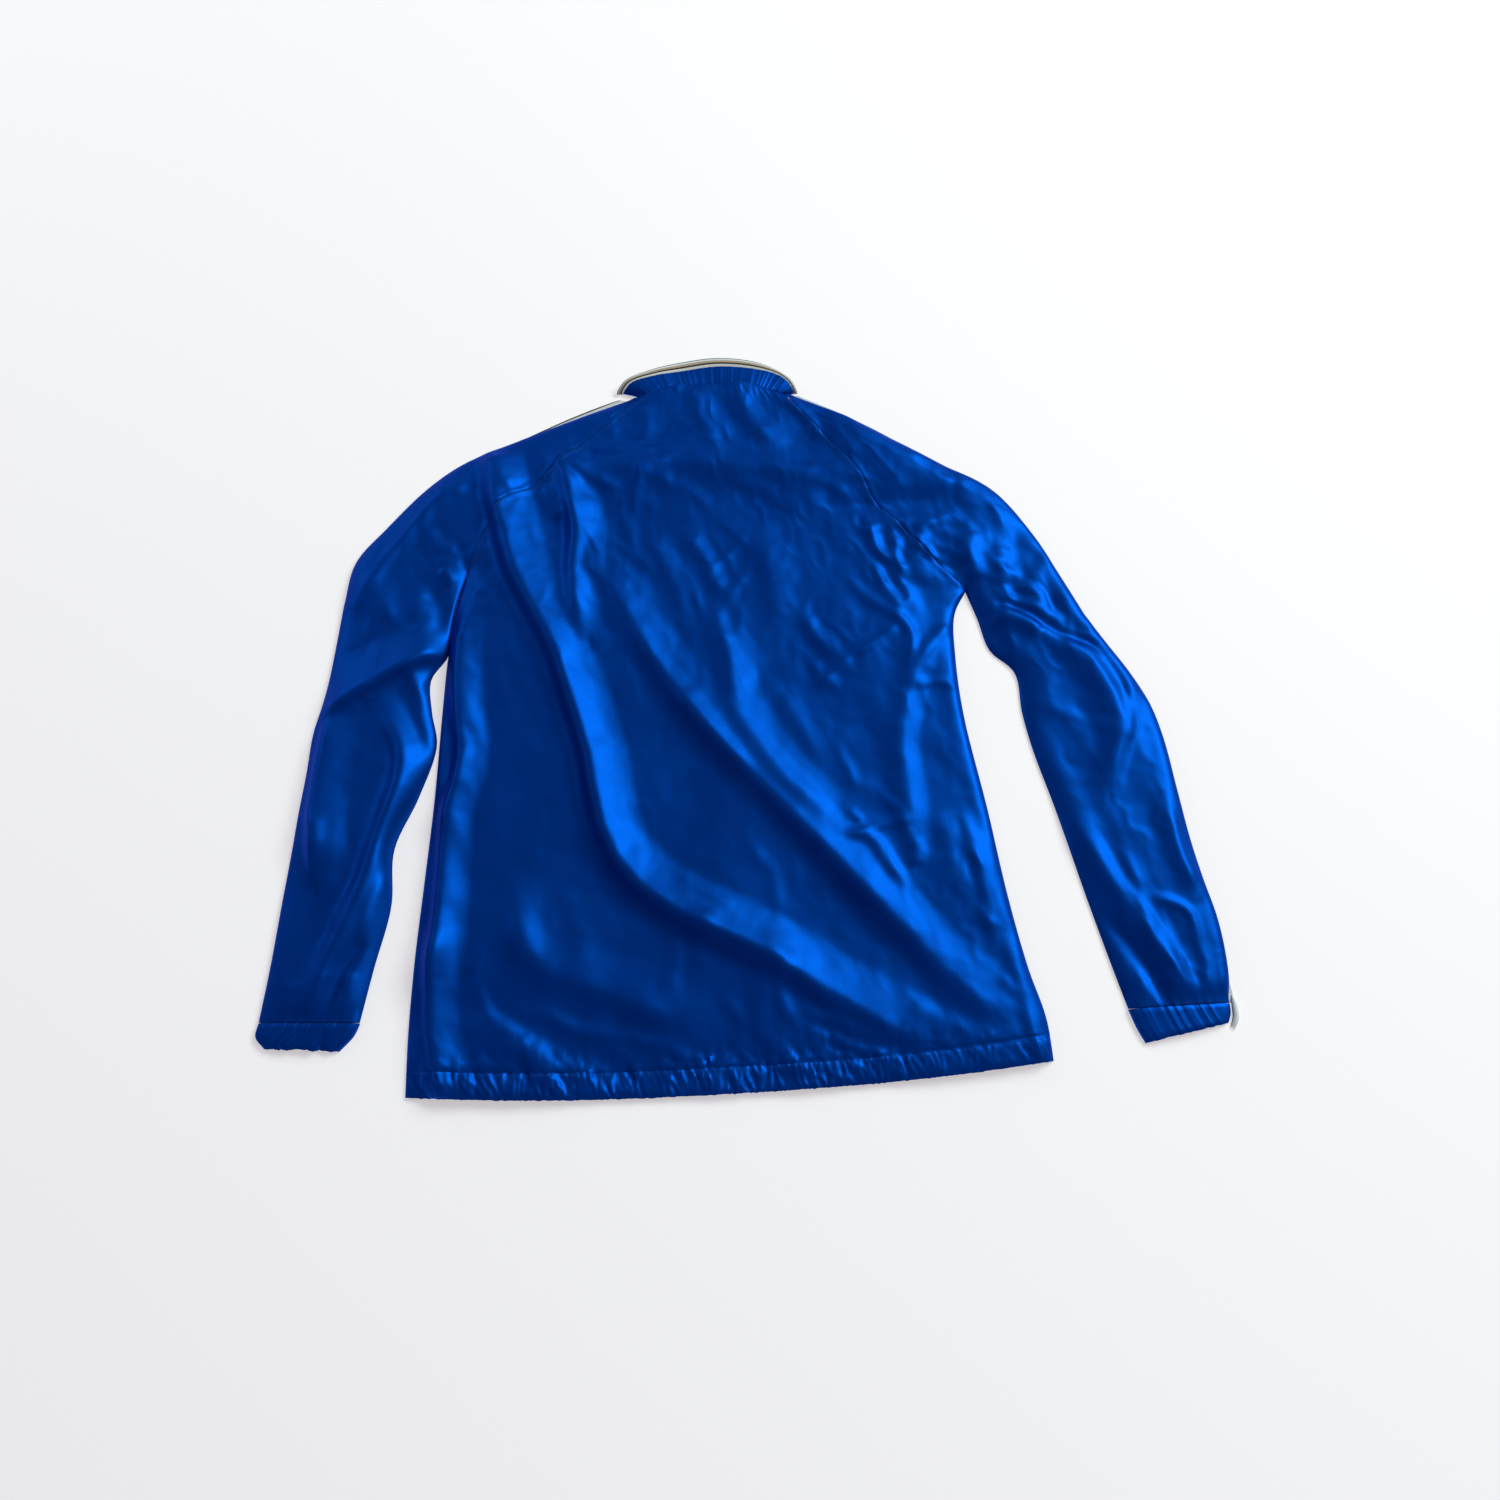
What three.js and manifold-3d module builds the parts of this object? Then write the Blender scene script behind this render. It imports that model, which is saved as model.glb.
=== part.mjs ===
// A blue satin windbreaker with raglan sleeves, lying on its front with its back up and its hem towards
// the viewer. Millimetres: +X to the viewer's right, +Y from the hem to the collar, +Z up from the surface
// that it lies on. Each piece that was cut and sewn is a closed wall of its own, 0.3 mm from its neighbour.
import * as THREE from "three";
import { mergeVertices } from "three/addons/utils/BufferGeometryUtils.js";
import Module from "manifold-3d";

const wasm = await Module();
wasm.setup();

// Driving dimensions
const cloth = 1.2; // thickness of a panel
const seamGap = 0.3; // between pieces that are sewn together or lie on each other
const tapeWidth = 22; // the white tape down each sleeve
const tapeThick = 1.0;
const hemCasing = 22; // depth of the turned-up hem
const puff = 8.4; // how far the back stands off the front, away from its edges
const roundOff = 13; // how fast the cloth rises from a folded edge
const neckBow = 17; // how far the back of the neck rises between the two raglan seams
const frontNeck = 381; // where the neckline meets the zip
const collarDip = 3.2; // how far the open edge of the collar sinks below the shoulders
const hemDip = 2.4; // how far the open hem sinks
const middle = new THREE.Vector2(-2.8, 66.6); // middle of the outline, put at the origin

// Folds are listed where the camera of the photo sees their crests on the surface below. It stands beyond the
// hem at height up, so a crest that high lies a little nearer to it.
const camera = { x: 0, y: -355.7, up: 977 };

// Folds: a rounded crest, a lit side that slopes evenly down to its end, and a steeper side
const crestRound = 2.5;
const litPower = 1.5;
const steepPower = 1.8;
const foldEnds = 0.12; // share of its length that each fold runs on beyond both ends
const foldSink = 0.2; // and the share over which it sinks there

// Levels of the lower face of what lies at each height
const backSeat = cloth + seamGap;
const tapeSeat = tapeThick + seamGap;
const shoulderSeat = tapeSeat + cloth + seamGap;

// Zip, across its own line
const zip = {
  foot: [-20, -311],
  head: [-41, 414],
  clothEdge: 6, // from the middle of the zip to the folded edge of each front
  level: 2.8, // lower face of that folded edge
  slope: 30, // width over which the front comes down to the surface
  tapeIn: 2.1,
  tapeOut: 14,
  tapeLow: 4.3,
  toothHalf: 1.8,
  toothLow: 4.0,
  toothHigh: 5.6,
  sliderAt: 708, // along the zip from its foot
};
const slider = {
  length: 12,
  width: 9,
  plate: 1.0,
  corner: 2.6,
  low: 2.7,
  high: 6.9,
  postHalf: 1.7,
  postLength: 2.5,
  bridgeHalf: 1.0,
  bridgeLength: 7,
  bridgeLeg: 1.2,
  bridgeLow: 0.25,
  crown: 0.9,
};
const pull = { width: 5.4, length: 24, thick: 0.9, bar: 0.9, window: 3.2, windowLength: 4.2 };

// Side edges of the body, hem to armpit. leftX and rightX are at leftY and rightY; bow is how far the row
// dips towards the viewer in its middle.
const bodyRows = [
  { leftX: -292, leftY: -314, rightX: 260, rightY: -284, bow: -12 },
  { leftX: -295, leftY: -262, rightX: 257, rightY: -248, bow: -9 },
  { leftX: -296, leftY: -200, rightX: 245, rightY: -205, bow: -5 },
  { leftX: -294.5, leftY: -130, rightX: 232, rightY: -140, bow: 0 },
  { leftX: -293, leftY: -50, rightX: 220, rightY: -60, bow: 0 },
  { leftX: -294, leftY: 40, rightX: 204, rightY: 35, bow: 0 },
  { leftX: -294, leftY: 92, rightX: 200, rightY: 95, bow: 0 },
  { leftX: -291, leftY: 140, rightX: 202, rightY: 141, bow: 0 },
  { leftX: -283, leftY: 188, rightX: 214.5, rightY: 167, bow: 0 },
];

// Raglan seams, armpit to neck
const raglanLeft = [
  [-283, 188], [-270, 226], [-253, 258], [-220, 285], [-194, 316], [-166, 342], [-140, 372], [-118, 395],
];
const raglanRight = [
  [214.5, 167], [181, 202], [150, 240], [127, 267], [112, 298], [90, 330], [62, 365], [37, 397],
];

// Sleeve beyond the armpit row: its inner and outer edge at each section, armpit to cuff
const sleeveLeft = [
  { innerX: -283, innerY: 188, outerX: -402, outerY: 150 },
  { innerX: -292.5, innerY: 140, outerX: -404, outerY: 105 },
  { innerX: -295.5, innerY: 95, outerX: -406, outerY: 70 },
  { innerX: -308, innerY: 72, outerX: -409, outerY: 45 },
  { innerX: -304, innerY: 38, outerX: -414, outerY: 15 },
  { innerX: -296, innerY: 4, outerX: -415, outerY: -25 },
  { innerX: -308, innerY: -48, outerX: -417, outerY: -65 },
  { innerX: -325, innerY: -97, outerX: -418, outerY: -102 },
  { innerX: -322, innerY: -150, outerX: -420, outerY: -150 },
  { innerX: -331, innerY: -205, outerX: -422, outerY: -205 },
  { innerX: -338, innerY: -252, outerX: -425, outerY: -252 },
];
const sleeveRight = [
  { innerX: 214.5, innerY: 167, outerX: 330, outerY: 140 },
  { innerX: 224, innerY: 138, outerX: 348, outerY: 110 },
  { innerX: 234, innerY: 103, outerX: 369, outerY: 75 },
  { innerX: 256, innerY: 80, outerX: 383, outerY: 45 },
  { innerX: 260, innerY: 38, outerX: 391, outerY: 12 },
  { innerX: 267, innerY: 0, outerX: 397, outerY: -38 },
  { innerX: 281, innerY: -52, outerX: 403, outerY: -88 },
  { innerX: 290, innerY: -88, outerX: 409, outerY: -122 },
  { innerX: 303, innerY: -142, outerX: 418, outerY: -165 },
  { innerX: 318, innerY: -200, outerX: 420, outerY: -211 },
  { innerX: 329, innerY: -240, outerX: 417, outerY: -235 },
];

// Outer line of each shoulder, from the row at the armpit up to the neck
const shoulderLeft = [
  [-402, 150], [-396, 199], [-369, 239], [-333, 285], [-299, 315], [-249, 341], [-189, 369], [-127, 396],
];
const shoulderRight = [
  [330, 140], [308, 188], [286, 233], [250, 283], [200, 314], [152, 344], [100, 375], [45, 401],
];

// Cuff casings: both ends of each section, from the sleeve to the mouth
const cuffLeft = [
  { innerX: -338, innerY: -252.6, outerX: -425, outerY: -252.6 },
  { innerX: -342, innerY: -263, outerX: -426, outerY: -264 },
  { innerX: -353, innerY: -276, outerX: -417, outerY: -274 },
];
const cuffRight = [
  { innerX: 329.2, innerY: -240.6, outerX: 417.2, outerY: -235.6 },
  { innerX: 335, innerY: -257, outerX: 417, outerY: -243.5 },
  { innerX: 341, innerY: -269, outerX: 414, outerY: -252 },
];

// The collar, from the left side of the zip round the back of the neck to the right side. seam is the neck
// seam, top is where the blue band meets the striped edge, and rim is that edge's outer border. seamY is
// null where the seam follows the neckline. level is the middle of the wall over the surface, or null where
// it lies at the height of the back.
const collarRows = [
  { seamX: -47.5, seamY: null, topX: -47.5, topY: 402, rimX: -47.5, rimY: 411, level: 3.4 },
  { seamX: -62, seamY: null, topX: -64, topY: 404, rimX: -65, rimY: 413, level: 2.0 },
  { seamX: -84, seamY: null, topX: -90, topY: 408, rimX: -93, rimY: 416, level: 0.6 },
  { seamX: -105, seamY: null, topX: -120, topY: 411, rimX: -126, rimY: 415, level: 0.6 },
  { seamX: -116, seamY: 400.5, topX: -135, topY: 404, rimX: -142, rimY: 403.5, level: 2.6 },
  { seamX: -110, seamY: null, topX: -128, topY: 412, rimX: -134, rimY: 415, level: null },
  { seamX: -95, seamY: null, topX: -103, topY: 421.5, rimX: -107, rimY: 429.5, level: null },
  { seamX: -69, seamY: null, topX: -74, topY: 429, rimX: -76, rimY: 440.5, level: null },
  { seamX: -35, seamY: null, topX: -35.5, topY: 435, rimX: -35.5, rimY: 446, level: null },
  { seamX: 0, seamY: null, topX: 3, topY: 432, rimX: 5, rimY: 441, level: null },
  { seamX: 20, seamY: null, topX: 29.5, topY: 424.5, rimX: 32.5, rimY: 429.5, level: null },
  { seamX: 30, seamY: null, topX: 41.5, topY: 413, rimX: 45.5, rimY: 416.5, level: null },
  { seamX: 36, seamY: 401.5, topX: 46.5, topY: 404.5, rimX: 51.5, rimY: 404.5, level: 2.6 },
  { seamX: 25, seamY: null, topX: 37, topY: 411, rimX: 42, rimY: 414, level: 0.6 },
  { seamX: 2, seamY: null, topX: 8, topY: 408, rimX: 10, rimY: 415, level: 0.6 },
  { seamX: -20, seamY: null, topX: -18, topY: 404, rimX: -17, rimY: 413, level: 2.0 },
  { seamX: -34.5, seamY: null, topX: -34.5, topY: 402, rimX: -34.5, rimY: 411, level: 3.4 },
];

// Largest folds: the line of each crest, its height, the width of its lit side, which is to the left of the
// line as it is listed, and that of its steeper side
const folds = [
  {
    path: [
      [-252, 300], [-238, 200], [-188, 100], [-152, 0], [-139, -75], [-108, -126], [-71, -150], [0, -180],
      [77, -230], [150, -262],
    ],
    height: 10,
    lit: 32,
    steep: 11,
  },
  {
    path: [[-152, 203], [-97, 100], [-26, 0], [22, -50], [119, -150], [164, -200], [206, -236]],
    height: 9,
    lit: 32,
    steep: 11,
  },
  { path: [[-193, 302], [-181, 250], [-177, 200], [-168, 150]], height: 7, lit: 34, steep: 12 },
  { path: [[-35, 130], [-22, 100], [-13, 50], [16, 0], [40, -30], [78, -62]], height: 5, lit: 26, steep: 11 },
  { path: [[180, 112], [167, 100], [151, 50], [142, 0], [148, -50], [150, -95]], height: 5, lit: 18, steep: 12 },
  { path: [[-212, -150], [-190, -195], [-130, -222], [-60, -246]], height: 6, lit: 34, steep: 14 },
  { path: [[-250, -250], [-180, -285]], height: 4, lit: 20, steep: 12 },
  { path: [[-398, 48], [-350, 80], [-303, 108]], height: 9, lit: 34, steep: 9 },
  { path: [[-352, 48], [-326, 0], [-336, -70], [-352, -130], [-386, -240]], height: 8, lit: 24, steep: 12 },
  { path: [[-398, 150], [-385, 195], [-340, 258], [-300, 300]], height: 6, lit: 24, steep: 10 },
  { path: [[-402, 34], [-404, -50], [-392, -112]], height: 5, lit: 20, steep: 12 },
];

// Folds of the right sleeve, and those that run on to it from the back, are round: the line of each crest, its
// height, and its width to the right and to the left of the line as it is listed
const roundFolds = [
  { path: [[165, 315], [60, 320], [-75, 335]], height: 6, right: 18, left: 13 },
  { path: [[90, 368], [170, 315], [255, 268]], height: 6, right: 20, left: 15 },
  { path: [[225, 240], [228, 180]], height: 6, right: 14, left: 12 },
  { path: [[262, 225], [258, 175]], height: 6, right: 14, left: 12 },
  { path: [[288, 195], [292, 140]], height: 5, right: 14, left: 12 },
  { path: [[246, 150], [285, 128]], height: 6, right: 14, left: 11 },
  { path: [[300, 118], [340, 75], [356, 35], [336, -35]], height: 8, right: 20, left: 14 },
  { path: [[290, -60], [320, -112], [370, -190], [392, -240]], height: 7, right: 18, left: 13 },
  { path: [[384, -40], [402, -130]], height: 4, right: 14, left: 12 },
];
const roundFoldShift = 1.0123; // how much further from the camera's foot their crests are seen

const colours = {
  satin: { color: 0x0b4bb4, roughness: 0.42, metalness: 0.0 },
  knit: { color: 0xd9cdb8, roughness: 0.9, metalness: 0.0 },
  tape: { color: 0xf1eee6, roughness: 0.85, metalness: 0.0 },
  zipTape: { color: 0x123c8c, roughness: 0.8, metalness: 0.0 },
  metal: { color: 0xb9bcc2, roughness: 0.35, metalness: 1.0 },
};

const jacket = new THREE.Group();

function addPiece(name, geometry, finish) {
  const mesh = new THREE.Mesh(geometry, new THREE.MeshStandardMaterial(colours[finish]));
  mesh.name = name;
  jacket.add(mesh);
  return mesh;
}

// Points at even steps along a smooth curve through [x, y] pairs
function alongCurve(points, steps) {
  const curve = new THREE.CatmullRomCurve3(points.map(([x, y, z = 0]) => new THREE.Vector3(x, y, z)));
  curve.curveType = "centripetal";
  return curve.getSpacedPoints(steps);
}

const bodyLeftEdge = alongCurve(bodyRows.map((r) => [r.leftX, r.leftY]), 40);
const bodyRightEdge = alongCurve(bodyRows.map((r) => [r.rightX, r.rightY]), 40);
const sleeveEdges = [
  { line: alongCurve(sleeveLeft.map((r) => [r.innerX, r.innerY]), 40), seat: backSeat },
  { line: alongCurve(sleeveRight.map((r) => [r.innerX, r.innerY]), 40), seat: backSeat },
  { line: alongCurve(sleeveLeft.map((r) => [r.outerX, r.outerY]), 40), seat: shoulderSeat },
  { line: alongCurve(sleeveRight.map((r) => [r.outerX, r.outerY]), 40), seat: shoulderSeat },
  { line: alongCurve(shoulderLeft, 40), seat: shoulderSeat },
  { line: alongCurve(shoulderRight, 40), seat: shoulderSeat },
];
const foldedEdges = [
  { line: bodyLeftEdge, seat: backSeat },
  { line: bodyRightEdge, seat: backSeat },
  ...sleeveEdges,
];
const ridges = folds.map((fold) => ({ ...fold, line: alongCurve(fold.path, 24) }));
const roundRidges = roundFolds.map((fold) => ({ ...fold, line: alongCurve(fold.path, 24) }));

// Nearest place on a line: the distance, the side (+1 to the right of its direction) and how far along
function nearest(line, x, y) {
  let best = { distance: Infinity, side: 1, along: 0 };
  for (let i = 0; i < line.length - 1; i += 1) {
    const a = line[i];
    const b = line[i + 1];
    const dx = b.x - a.x;
    const dy = b.y - a.y;
    const t = THREE.MathUtils.clamp(((x - a.x) * dx + (y - a.y) * dy) / (dx * dx + dy * dy), 0, 1);
    const distance = Math.hypot(x - a.x - t * dx, y - a.y - t * dy);
    if (distance < best.distance) {
      const side = dy * (x - a.x) - dx * (y - a.y) >= 0 ? 1 : -1;
      best = { distance, side, along: (i + t) / (line.length - 1) };
    }
  }
  return best;
}

// Where a place is seen on the surface below, and how far along a line and beside it that is
function seenBeside(line, x, y, shift) {
  return nearest(line, camera.x + (x - camera.x) * shift, camera.y + (y - camera.y) * shift);
}

// A fold sinks towards both its ends
function foldTaper(along) {
  const { smoothstep } = THREE.MathUtils;
  return smoothstep(along, -foldEnds, foldSink) * smoothstep(1 - along, -foldEnds, foldSink);
}

// How far a fold lifts the cloth at a place
function foldLift({ line, height, lit, steep }, x, y) {
  const { distance, side, along } = seenBeside(line, x, y, 1 + (puff + height) / camera.up);
  const past = Math.hypot(distance, crestRound) - crestRound;
  const litSide = Math.max(0, 1 - past / lit) ** litPower;
  const steepSide = Math.exp(-((past / steep) ** steepPower));
  return height * foldTaper(along) * (side < 0 ? litSide : steepSide);
}

function roundFoldLift({ line, height, right, left }, x, y) {
  const { distance, side, along } = seenBeside(line, x, y, roundFoldShift);
  return height * foldTaper(along) * Math.exp(-((distance / (side > 0 ? right : left)) ** 2));
}

// Height of the middle of the upper layer of cloth over any place of the outline
function upperLevel(x, y) {
  let closest = Infinity;
  let seat = 0;
  let weights = 0;
  for (const edge of foldedEdges) {
    const { distance } = nearest(edge.line, x, y);
    const weight = Math.exp(-distance / 6);
    closest = Math.min(closest, distance);
    seat += weight * edge.seat;
    weights += weight;
  }
  let swell = puff - collarDip * THREE.MathUtils.smoothstep(y, 395, 440);
  for (const ridge of ridges) swell += foldLift(ridge, x, y);
  for (const ridge of roundRidges) swell += roundFoldLift(ridge, x, y);
  return seat / weights + cloth / 2 + (1 - Math.exp(-closest / roundOff)) * swell;
}

// Closed wall over a grid of middle points. relief adds to its outer face alone.
function wall(grid, thickness, { ring = false, relief = () => 0, level = false } = {}) {
  const rows = grid.length;
  const columns = grid[0].length;
  const at = (i, j) => grid[i][ring ? (j + columns) % columns : THREE.MathUtils.clamp(j, 0, columns - 1)];
  const vertices = [];
  const outer = [];
  const inner = [];
  for (let i = 0; i < rows; i += 1) {
    for (let j = 0; j < columns; j += 1) {
      const across = at(i, j + 1).clone().sub(at(i, j - 1));
      const down = grid[Math.min(i + 1, rows - 1)][j].clone().sub(grid[Math.max(i - 1, 0)][j]);
      const normal = level ? new THREE.Vector3(0, 0, 1) : across.cross(down).normalize();
      const top = at(i, j).clone().addScaledVector(normal, thickness / 2 + relief(i, j));
      const bottom = at(i, j).clone().addScaledVector(normal, -thickness / 2);
      outer.push(vertices.push(top) - 1);
      inner.push(vertices.push(bottom) - 1);
    }
  }
  const faces = [];
  const quad = (a, b, c, d) => faces.push(a, b, c, a, c, d);
  const id = (i, j) => i * columns + (j % columns);
  const lastColumn = ring ? columns : columns - 1;
  for (let i = 0; i < rows - 1; i += 1) {
    for (let j = 0; j < lastColumn; j += 1) {
      quad(outer[id(i, j)], outer[id(i, j + 1)], outer[id(i + 1, j + 1)], outer[id(i + 1, j)]);
      quad(inner[id(i, j)], inner[id(i + 1, j)], inner[id(i + 1, j + 1)], inner[id(i, j + 1)]);
    }
  }
  for (let j = 0; j < lastColumn; j += 1) {
    const n = rows - 1;
    quad(outer[id(0, j)], inner[id(0, j)], inner[id(0, j + 1)], outer[id(0, j + 1)]);
    quad(outer[id(n, j)], outer[id(n, j + 1)], inner[id(n, j + 1)], inner[id(n, j)]);
  }
  for (let i = 0; i < rows - 1 && !ring; i += 1) {
    const n = columns - 1;
    quad(outer[id(i, 0)], outer[id(i + 1, 0)], inner[id(i + 1, 0)], inner[id(i, 0)]);
    quad(outer[id(i, n)], inner[id(i, n)], inner[id(i + 1, n)], outer[id(i + 1, n)]);
  }
  const geometry = new THREE.BufferGeometry();
  geometry.setAttribute("position", new THREE.Float32BufferAttribute(vertices.flatMap((v) => v.toArray()), 3));
  geometry.setIndex(faces);
  return geometry;
}

// Share of a row's bow at u of its width
const crown = (u) => 1 - Math.abs(2 * u - 1) ** 2.4;

// Points of a row from one edge to the other, pulled in from both by the seam gap
function rowPoints(from, to, steps, bow, height) {
  const span = from.distanceTo(to);
  const inset = seamGap / span;
  return Array.from({ length: steps + 1 }, (_, k) => {
    const u = THREE.MathUtils.lerp(inset, 1 - inset, k / steps);
    const point = from.clone().lerp(to, u);
    point.y += bow * crown(u);
    point.z = height(point.x, point.y, u);
    return point;
  });
}

// Rows from the hem casing up to the neck; each raglan row ends on the points that the sleeve uses
const raglanSteps = 14;
const raglan = {
  left: alongCurve(raglanLeft, raglanSteps),
  right: alongCurve(raglanRight, raglanSteps),
};
const bodySteps = 20;
const bodyLines = {
  left: alongCurve(bodyRows.map((r) => [r.leftX, r.leftY, r.bow]), bodySteps),
  right: alongCurve(bodyRows.map((r) => [r.rightX, r.rightY, r.bow]), bodySteps),
};
const flat = (point) => new THREE.Vector3(point.x, point.y, 0);

function backRow(k) {
  if (k <= bodySteps) {
    return { left: flat(bodyLines.left[k]), right: flat(bodyLines.right[k]), bow: bodyLines.left[k].z };
  }
  const up = (k - bodySteps) / raglanSteps;
  return { left: raglan.left[k - bodySteps], right: raglan.right[k - bodySteps], bow: neckBow * up ** 3 };
}

// Height of the back, which sinks towards the front along the open hem
function backLevel(x, y) {
  const level = upperLevel(x, y);
  const fromHem = Math.max(y - hemEdge.left.y, 0);
  return level - hemDip * Math.exp(-fromHem / 30) * Math.min(1, (level - 2) / 6);
}

const hemEdge = backRow(0);
const casingTop = {
  left: new THREE.Vector3(-293.4, hemEdge.left.y + hemCasing, 0),
  right: new THREE.Vector3(258.2, hemEdge.right.y + hemCasing, 0),
  bow: -11,
};
{
  const columns = 30;
  const above = (row) => row.left.y > casingTop.left.y + 8;
  const rows = Array.from({ length: bodySteps + raglanSteps + 1 }, (_, k) => backRow(k)).filter(above);
  const firstRow = {
    left: casingTop.left.clone().setY(casingTop.left.y + seamGap),
    right: casingTop.right.clone().setY(casingTop.right.y + seamGap),
    bow: casingTop.bow,
  };
  const grid = [firstRow, ...rows].map((row) =>
    rowPoints(row.left, row.right, columns, row.bow, backLevel),
  );
  addPiece("back_panel", wall(grid, cloth), "satin");

  const puckers = 40;
  const perPucker = 3;
  const casingRows = [0, 0.5, 1].map((t) => ({
    left: hemEdge.left.clone().lerp(casingTop.left, t),
    right: hemEdge.right.clone().lerp(casingTop.right, t),
    bow: THREE.MathUtils.lerp(hemEdge.bow, casingTop.bow, t),
  }));
  const casing = casingRows.map((row) =>
    rowPoints(row.left, row.right, puckers * perPucker, row.bow, backLevel),
  );
  const pucker = (i, j) => (i === 1 ? 0.35 : 0.15) + (j % perPucker === 1 ? 0.8 : 0) * (i === 0 ? 0.3 : 1);
  addPiece("hem_back", wall(casing, cloth, { relief: pucker }), "satin");
}

// Sleeves: the back half on top, the front half on the surface, lifted over the tape
const sleeveColumns = 9;
const lowerSteps = 20;
const sides = {
  left: {
    raglan: raglan.left,
    shoulder: shoulderLeft,
    rows: sleeveLeft,
    cuff: cuffLeft,
    tapeAtNeck: 14,
    tapeAtCuff: 0,
  },
  right: {
    raglan: raglan.right,
    shoulder: shoulderRight,
    rows: sleeveRight,
    cuff: cuffRight,
    tapeAtNeck: 7,
    tapeAtCuff: 6,
  },
};

// Share of the sleeve, from its cuff and from its neck, over which the tape shows
const tapeShowsAtCuff = 0.08;
const tapeShowsAtNeck = 0.16;

// The front half of each sleeve lies over the tape for this far, and comes down over the next stretch
const tapePlan = tapeWidth + 6;
const tapeSlope = 14;

function sleeveRowsOf({ raglan: seam, shoulder, rows }) {
  const outerUpper = alongCurve(shoulder, raglanSteps);
  const inner = alongCurve(rows.map((r) => [r.innerX, r.innerY]), lowerSteps);
  const outer = alongCurve(rows.map((r) => [r.outerX, r.outerY]), lowerSteps);
  const upper = seam.map((point, k) => ({ inner: point, outer: outerUpper[k] })).reverse();
  const lower = inner.map((point, k) => ({ inner: point, outer: outer[k] })).slice(1);
  return [...upper, ...lower];
}

function overTape(fromEdge) {
  return tapeSeat * (1 - THREE.MathUtils.smoothstep(fromEdge, tapePlan, tapePlan + tapeSlope));
}

// Cuff casing: its height at the sleeve and at its mouth, how round its folded ends are, and its gathers
const cuff = { atSleeve: 8.2, atMouth: 7, roundness: 0.55, gathers: 15, perGather: 3, under: 12, sections: 3 };

for (const [side, plan] of Object.entries(sides)) {
  const order = side === "left" ? (row) => [row.outer, row.inner] : (row) => [row.inner, row.outer];
  const rows = sleeveRowsOf(plan).reverse();
  const upper = rows.map((row) => rowPoints(...order(row), sleeveColumns, 0, upperLevel));
  addPiece(`sleeve_back_${side}`, wall(upper, cloth), "satin");

  const lower = rows.map((row) => {
    const span = row.inner.distanceTo(row.outer);
    const inset = seamGap / span;
    const places = [0, tapePlan, tapePlan + tapeSlope / 2, tapePlan + tapeSlope];
    const stops = places.map((d) => Math.min(d / span, 0.6 + d / 200)); // in order even where the row is short
    const line = [...stops, 1].map((stop) => {
      const u = THREE.MathUtils.lerp(inset, 1 - inset, stop);
      return row.outer.clone().lerp(row.inner, u).setZ(cloth / 2 + overTape(u * span));
    });
    return side === "left" ? line : line.reverse();
  });
  addPiece(`sleeve_front_${side}`, wall(lower, cloth, { level: true }), "satin");

  // White tape under the outer edge of the sleeve, showing a little beyond it at the neck and the cuff
  const tapeRows = rows.map((row, k) => {
    const along = k / (rows.length - 1);
    const atNeck = plan.tapeAtNeck * THREE.MathUtils.smoothstep(along, 1 - tapeShowsAtNeck, 1);
    const atCuff = plan.tapeAtCuff * (1 - THREE.MathUtils.smoothstep(along, 0, tapeShowsAtCuff));
    const showing = atNeck + atCuff;
    const inward = row.inner.clone().sub(row.outer).normalize();
    const width = Math.min(tapeWidth, row.inner.distanceTo(row.outer) - 1);
    const edge = row.outer.clone().addScaledVector(inward, 1 - showing);
    const border = row.outer.clone().addScaledVector(inward, width);
    const ends = side === "left" ? [edge, border] : [border, edge];
    return ends.map((end) => end.clone().setZ(tapeThick / 2));
  });
  addPiece(`sleeve_tape_${side}`, wall(tapeRows, tapeThick, { level: true }), "tape");

  // Elastic cuff: a flattened ring whose upper side is gathered
  const upperCount = cuff.gathers * cuff.perGather;
  const cuffInner = alongCurve(plan.cuff.map((r) => [r.innerX, r.innerY]), cuff.sections);
  const cuffOuter = alongCurve(plan.cuff.map((r) => [r.outerX, r.outerY]), cuff.sections);
  const cuffRows = cuffInner.map((inner, k) => {
    const [from, to] = order({ inner, outer: cuffOuter[k] });
    const height = THREE.MathUtils.lerp(cuff.atSleeve, cuff.atMouth, k / cuff.sections);
    const ring = [];
    for (let n = 0; n < upperCount; n += 1) {
      const angle = (Math.PI * n) / upperCount;
      const point = from.clone().lerp(to, 0.5 - 0.5 * Math.cos(angle));
      ring.push(point.setZ(cloth / 2 + height * Math.sin(angle) ** cuff.roundness));
    }
    for (let n = 0; n < cuff.under; n += 1) {
      const angle = (Math.PI * n) / cuff.under;
      ring.push(to.clone().lerp(from, 0.5 - 0.5 * Math.cos(angle)).setZ(cloth / 2));
    }
    return ring;
  });
  const isGather = (j) => j > 2 && j < upperCount && j % cuff.perGather === 1;
  const gather = (i, j) => (isGather(j) ? 1 - 0.15 * i : 0);
  addPiece(`cuff_${side}`, wall(cuffRows.reverse(), cloth, { ring: true, relief: gather }), "satin");
}

// Fronts: flat on the surface, rising to the zip
const zipFoot = new THREE.Vector3(...zip.foot, 0);
const zipHead = new THREE.Vector3(...zip.head, 0);
const zipLength = zipFoot.distanceTo(zipHead);
const zipLean = Math.atan2(zipFoot.x - zipHead.x, zipHead.y - zipFoot.y);
const zipX = (y) => THREE.MathUtils.mapLinear(y, zipFoot.y, zipHead.y, zipFoot.x, zipHead.x);

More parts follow.
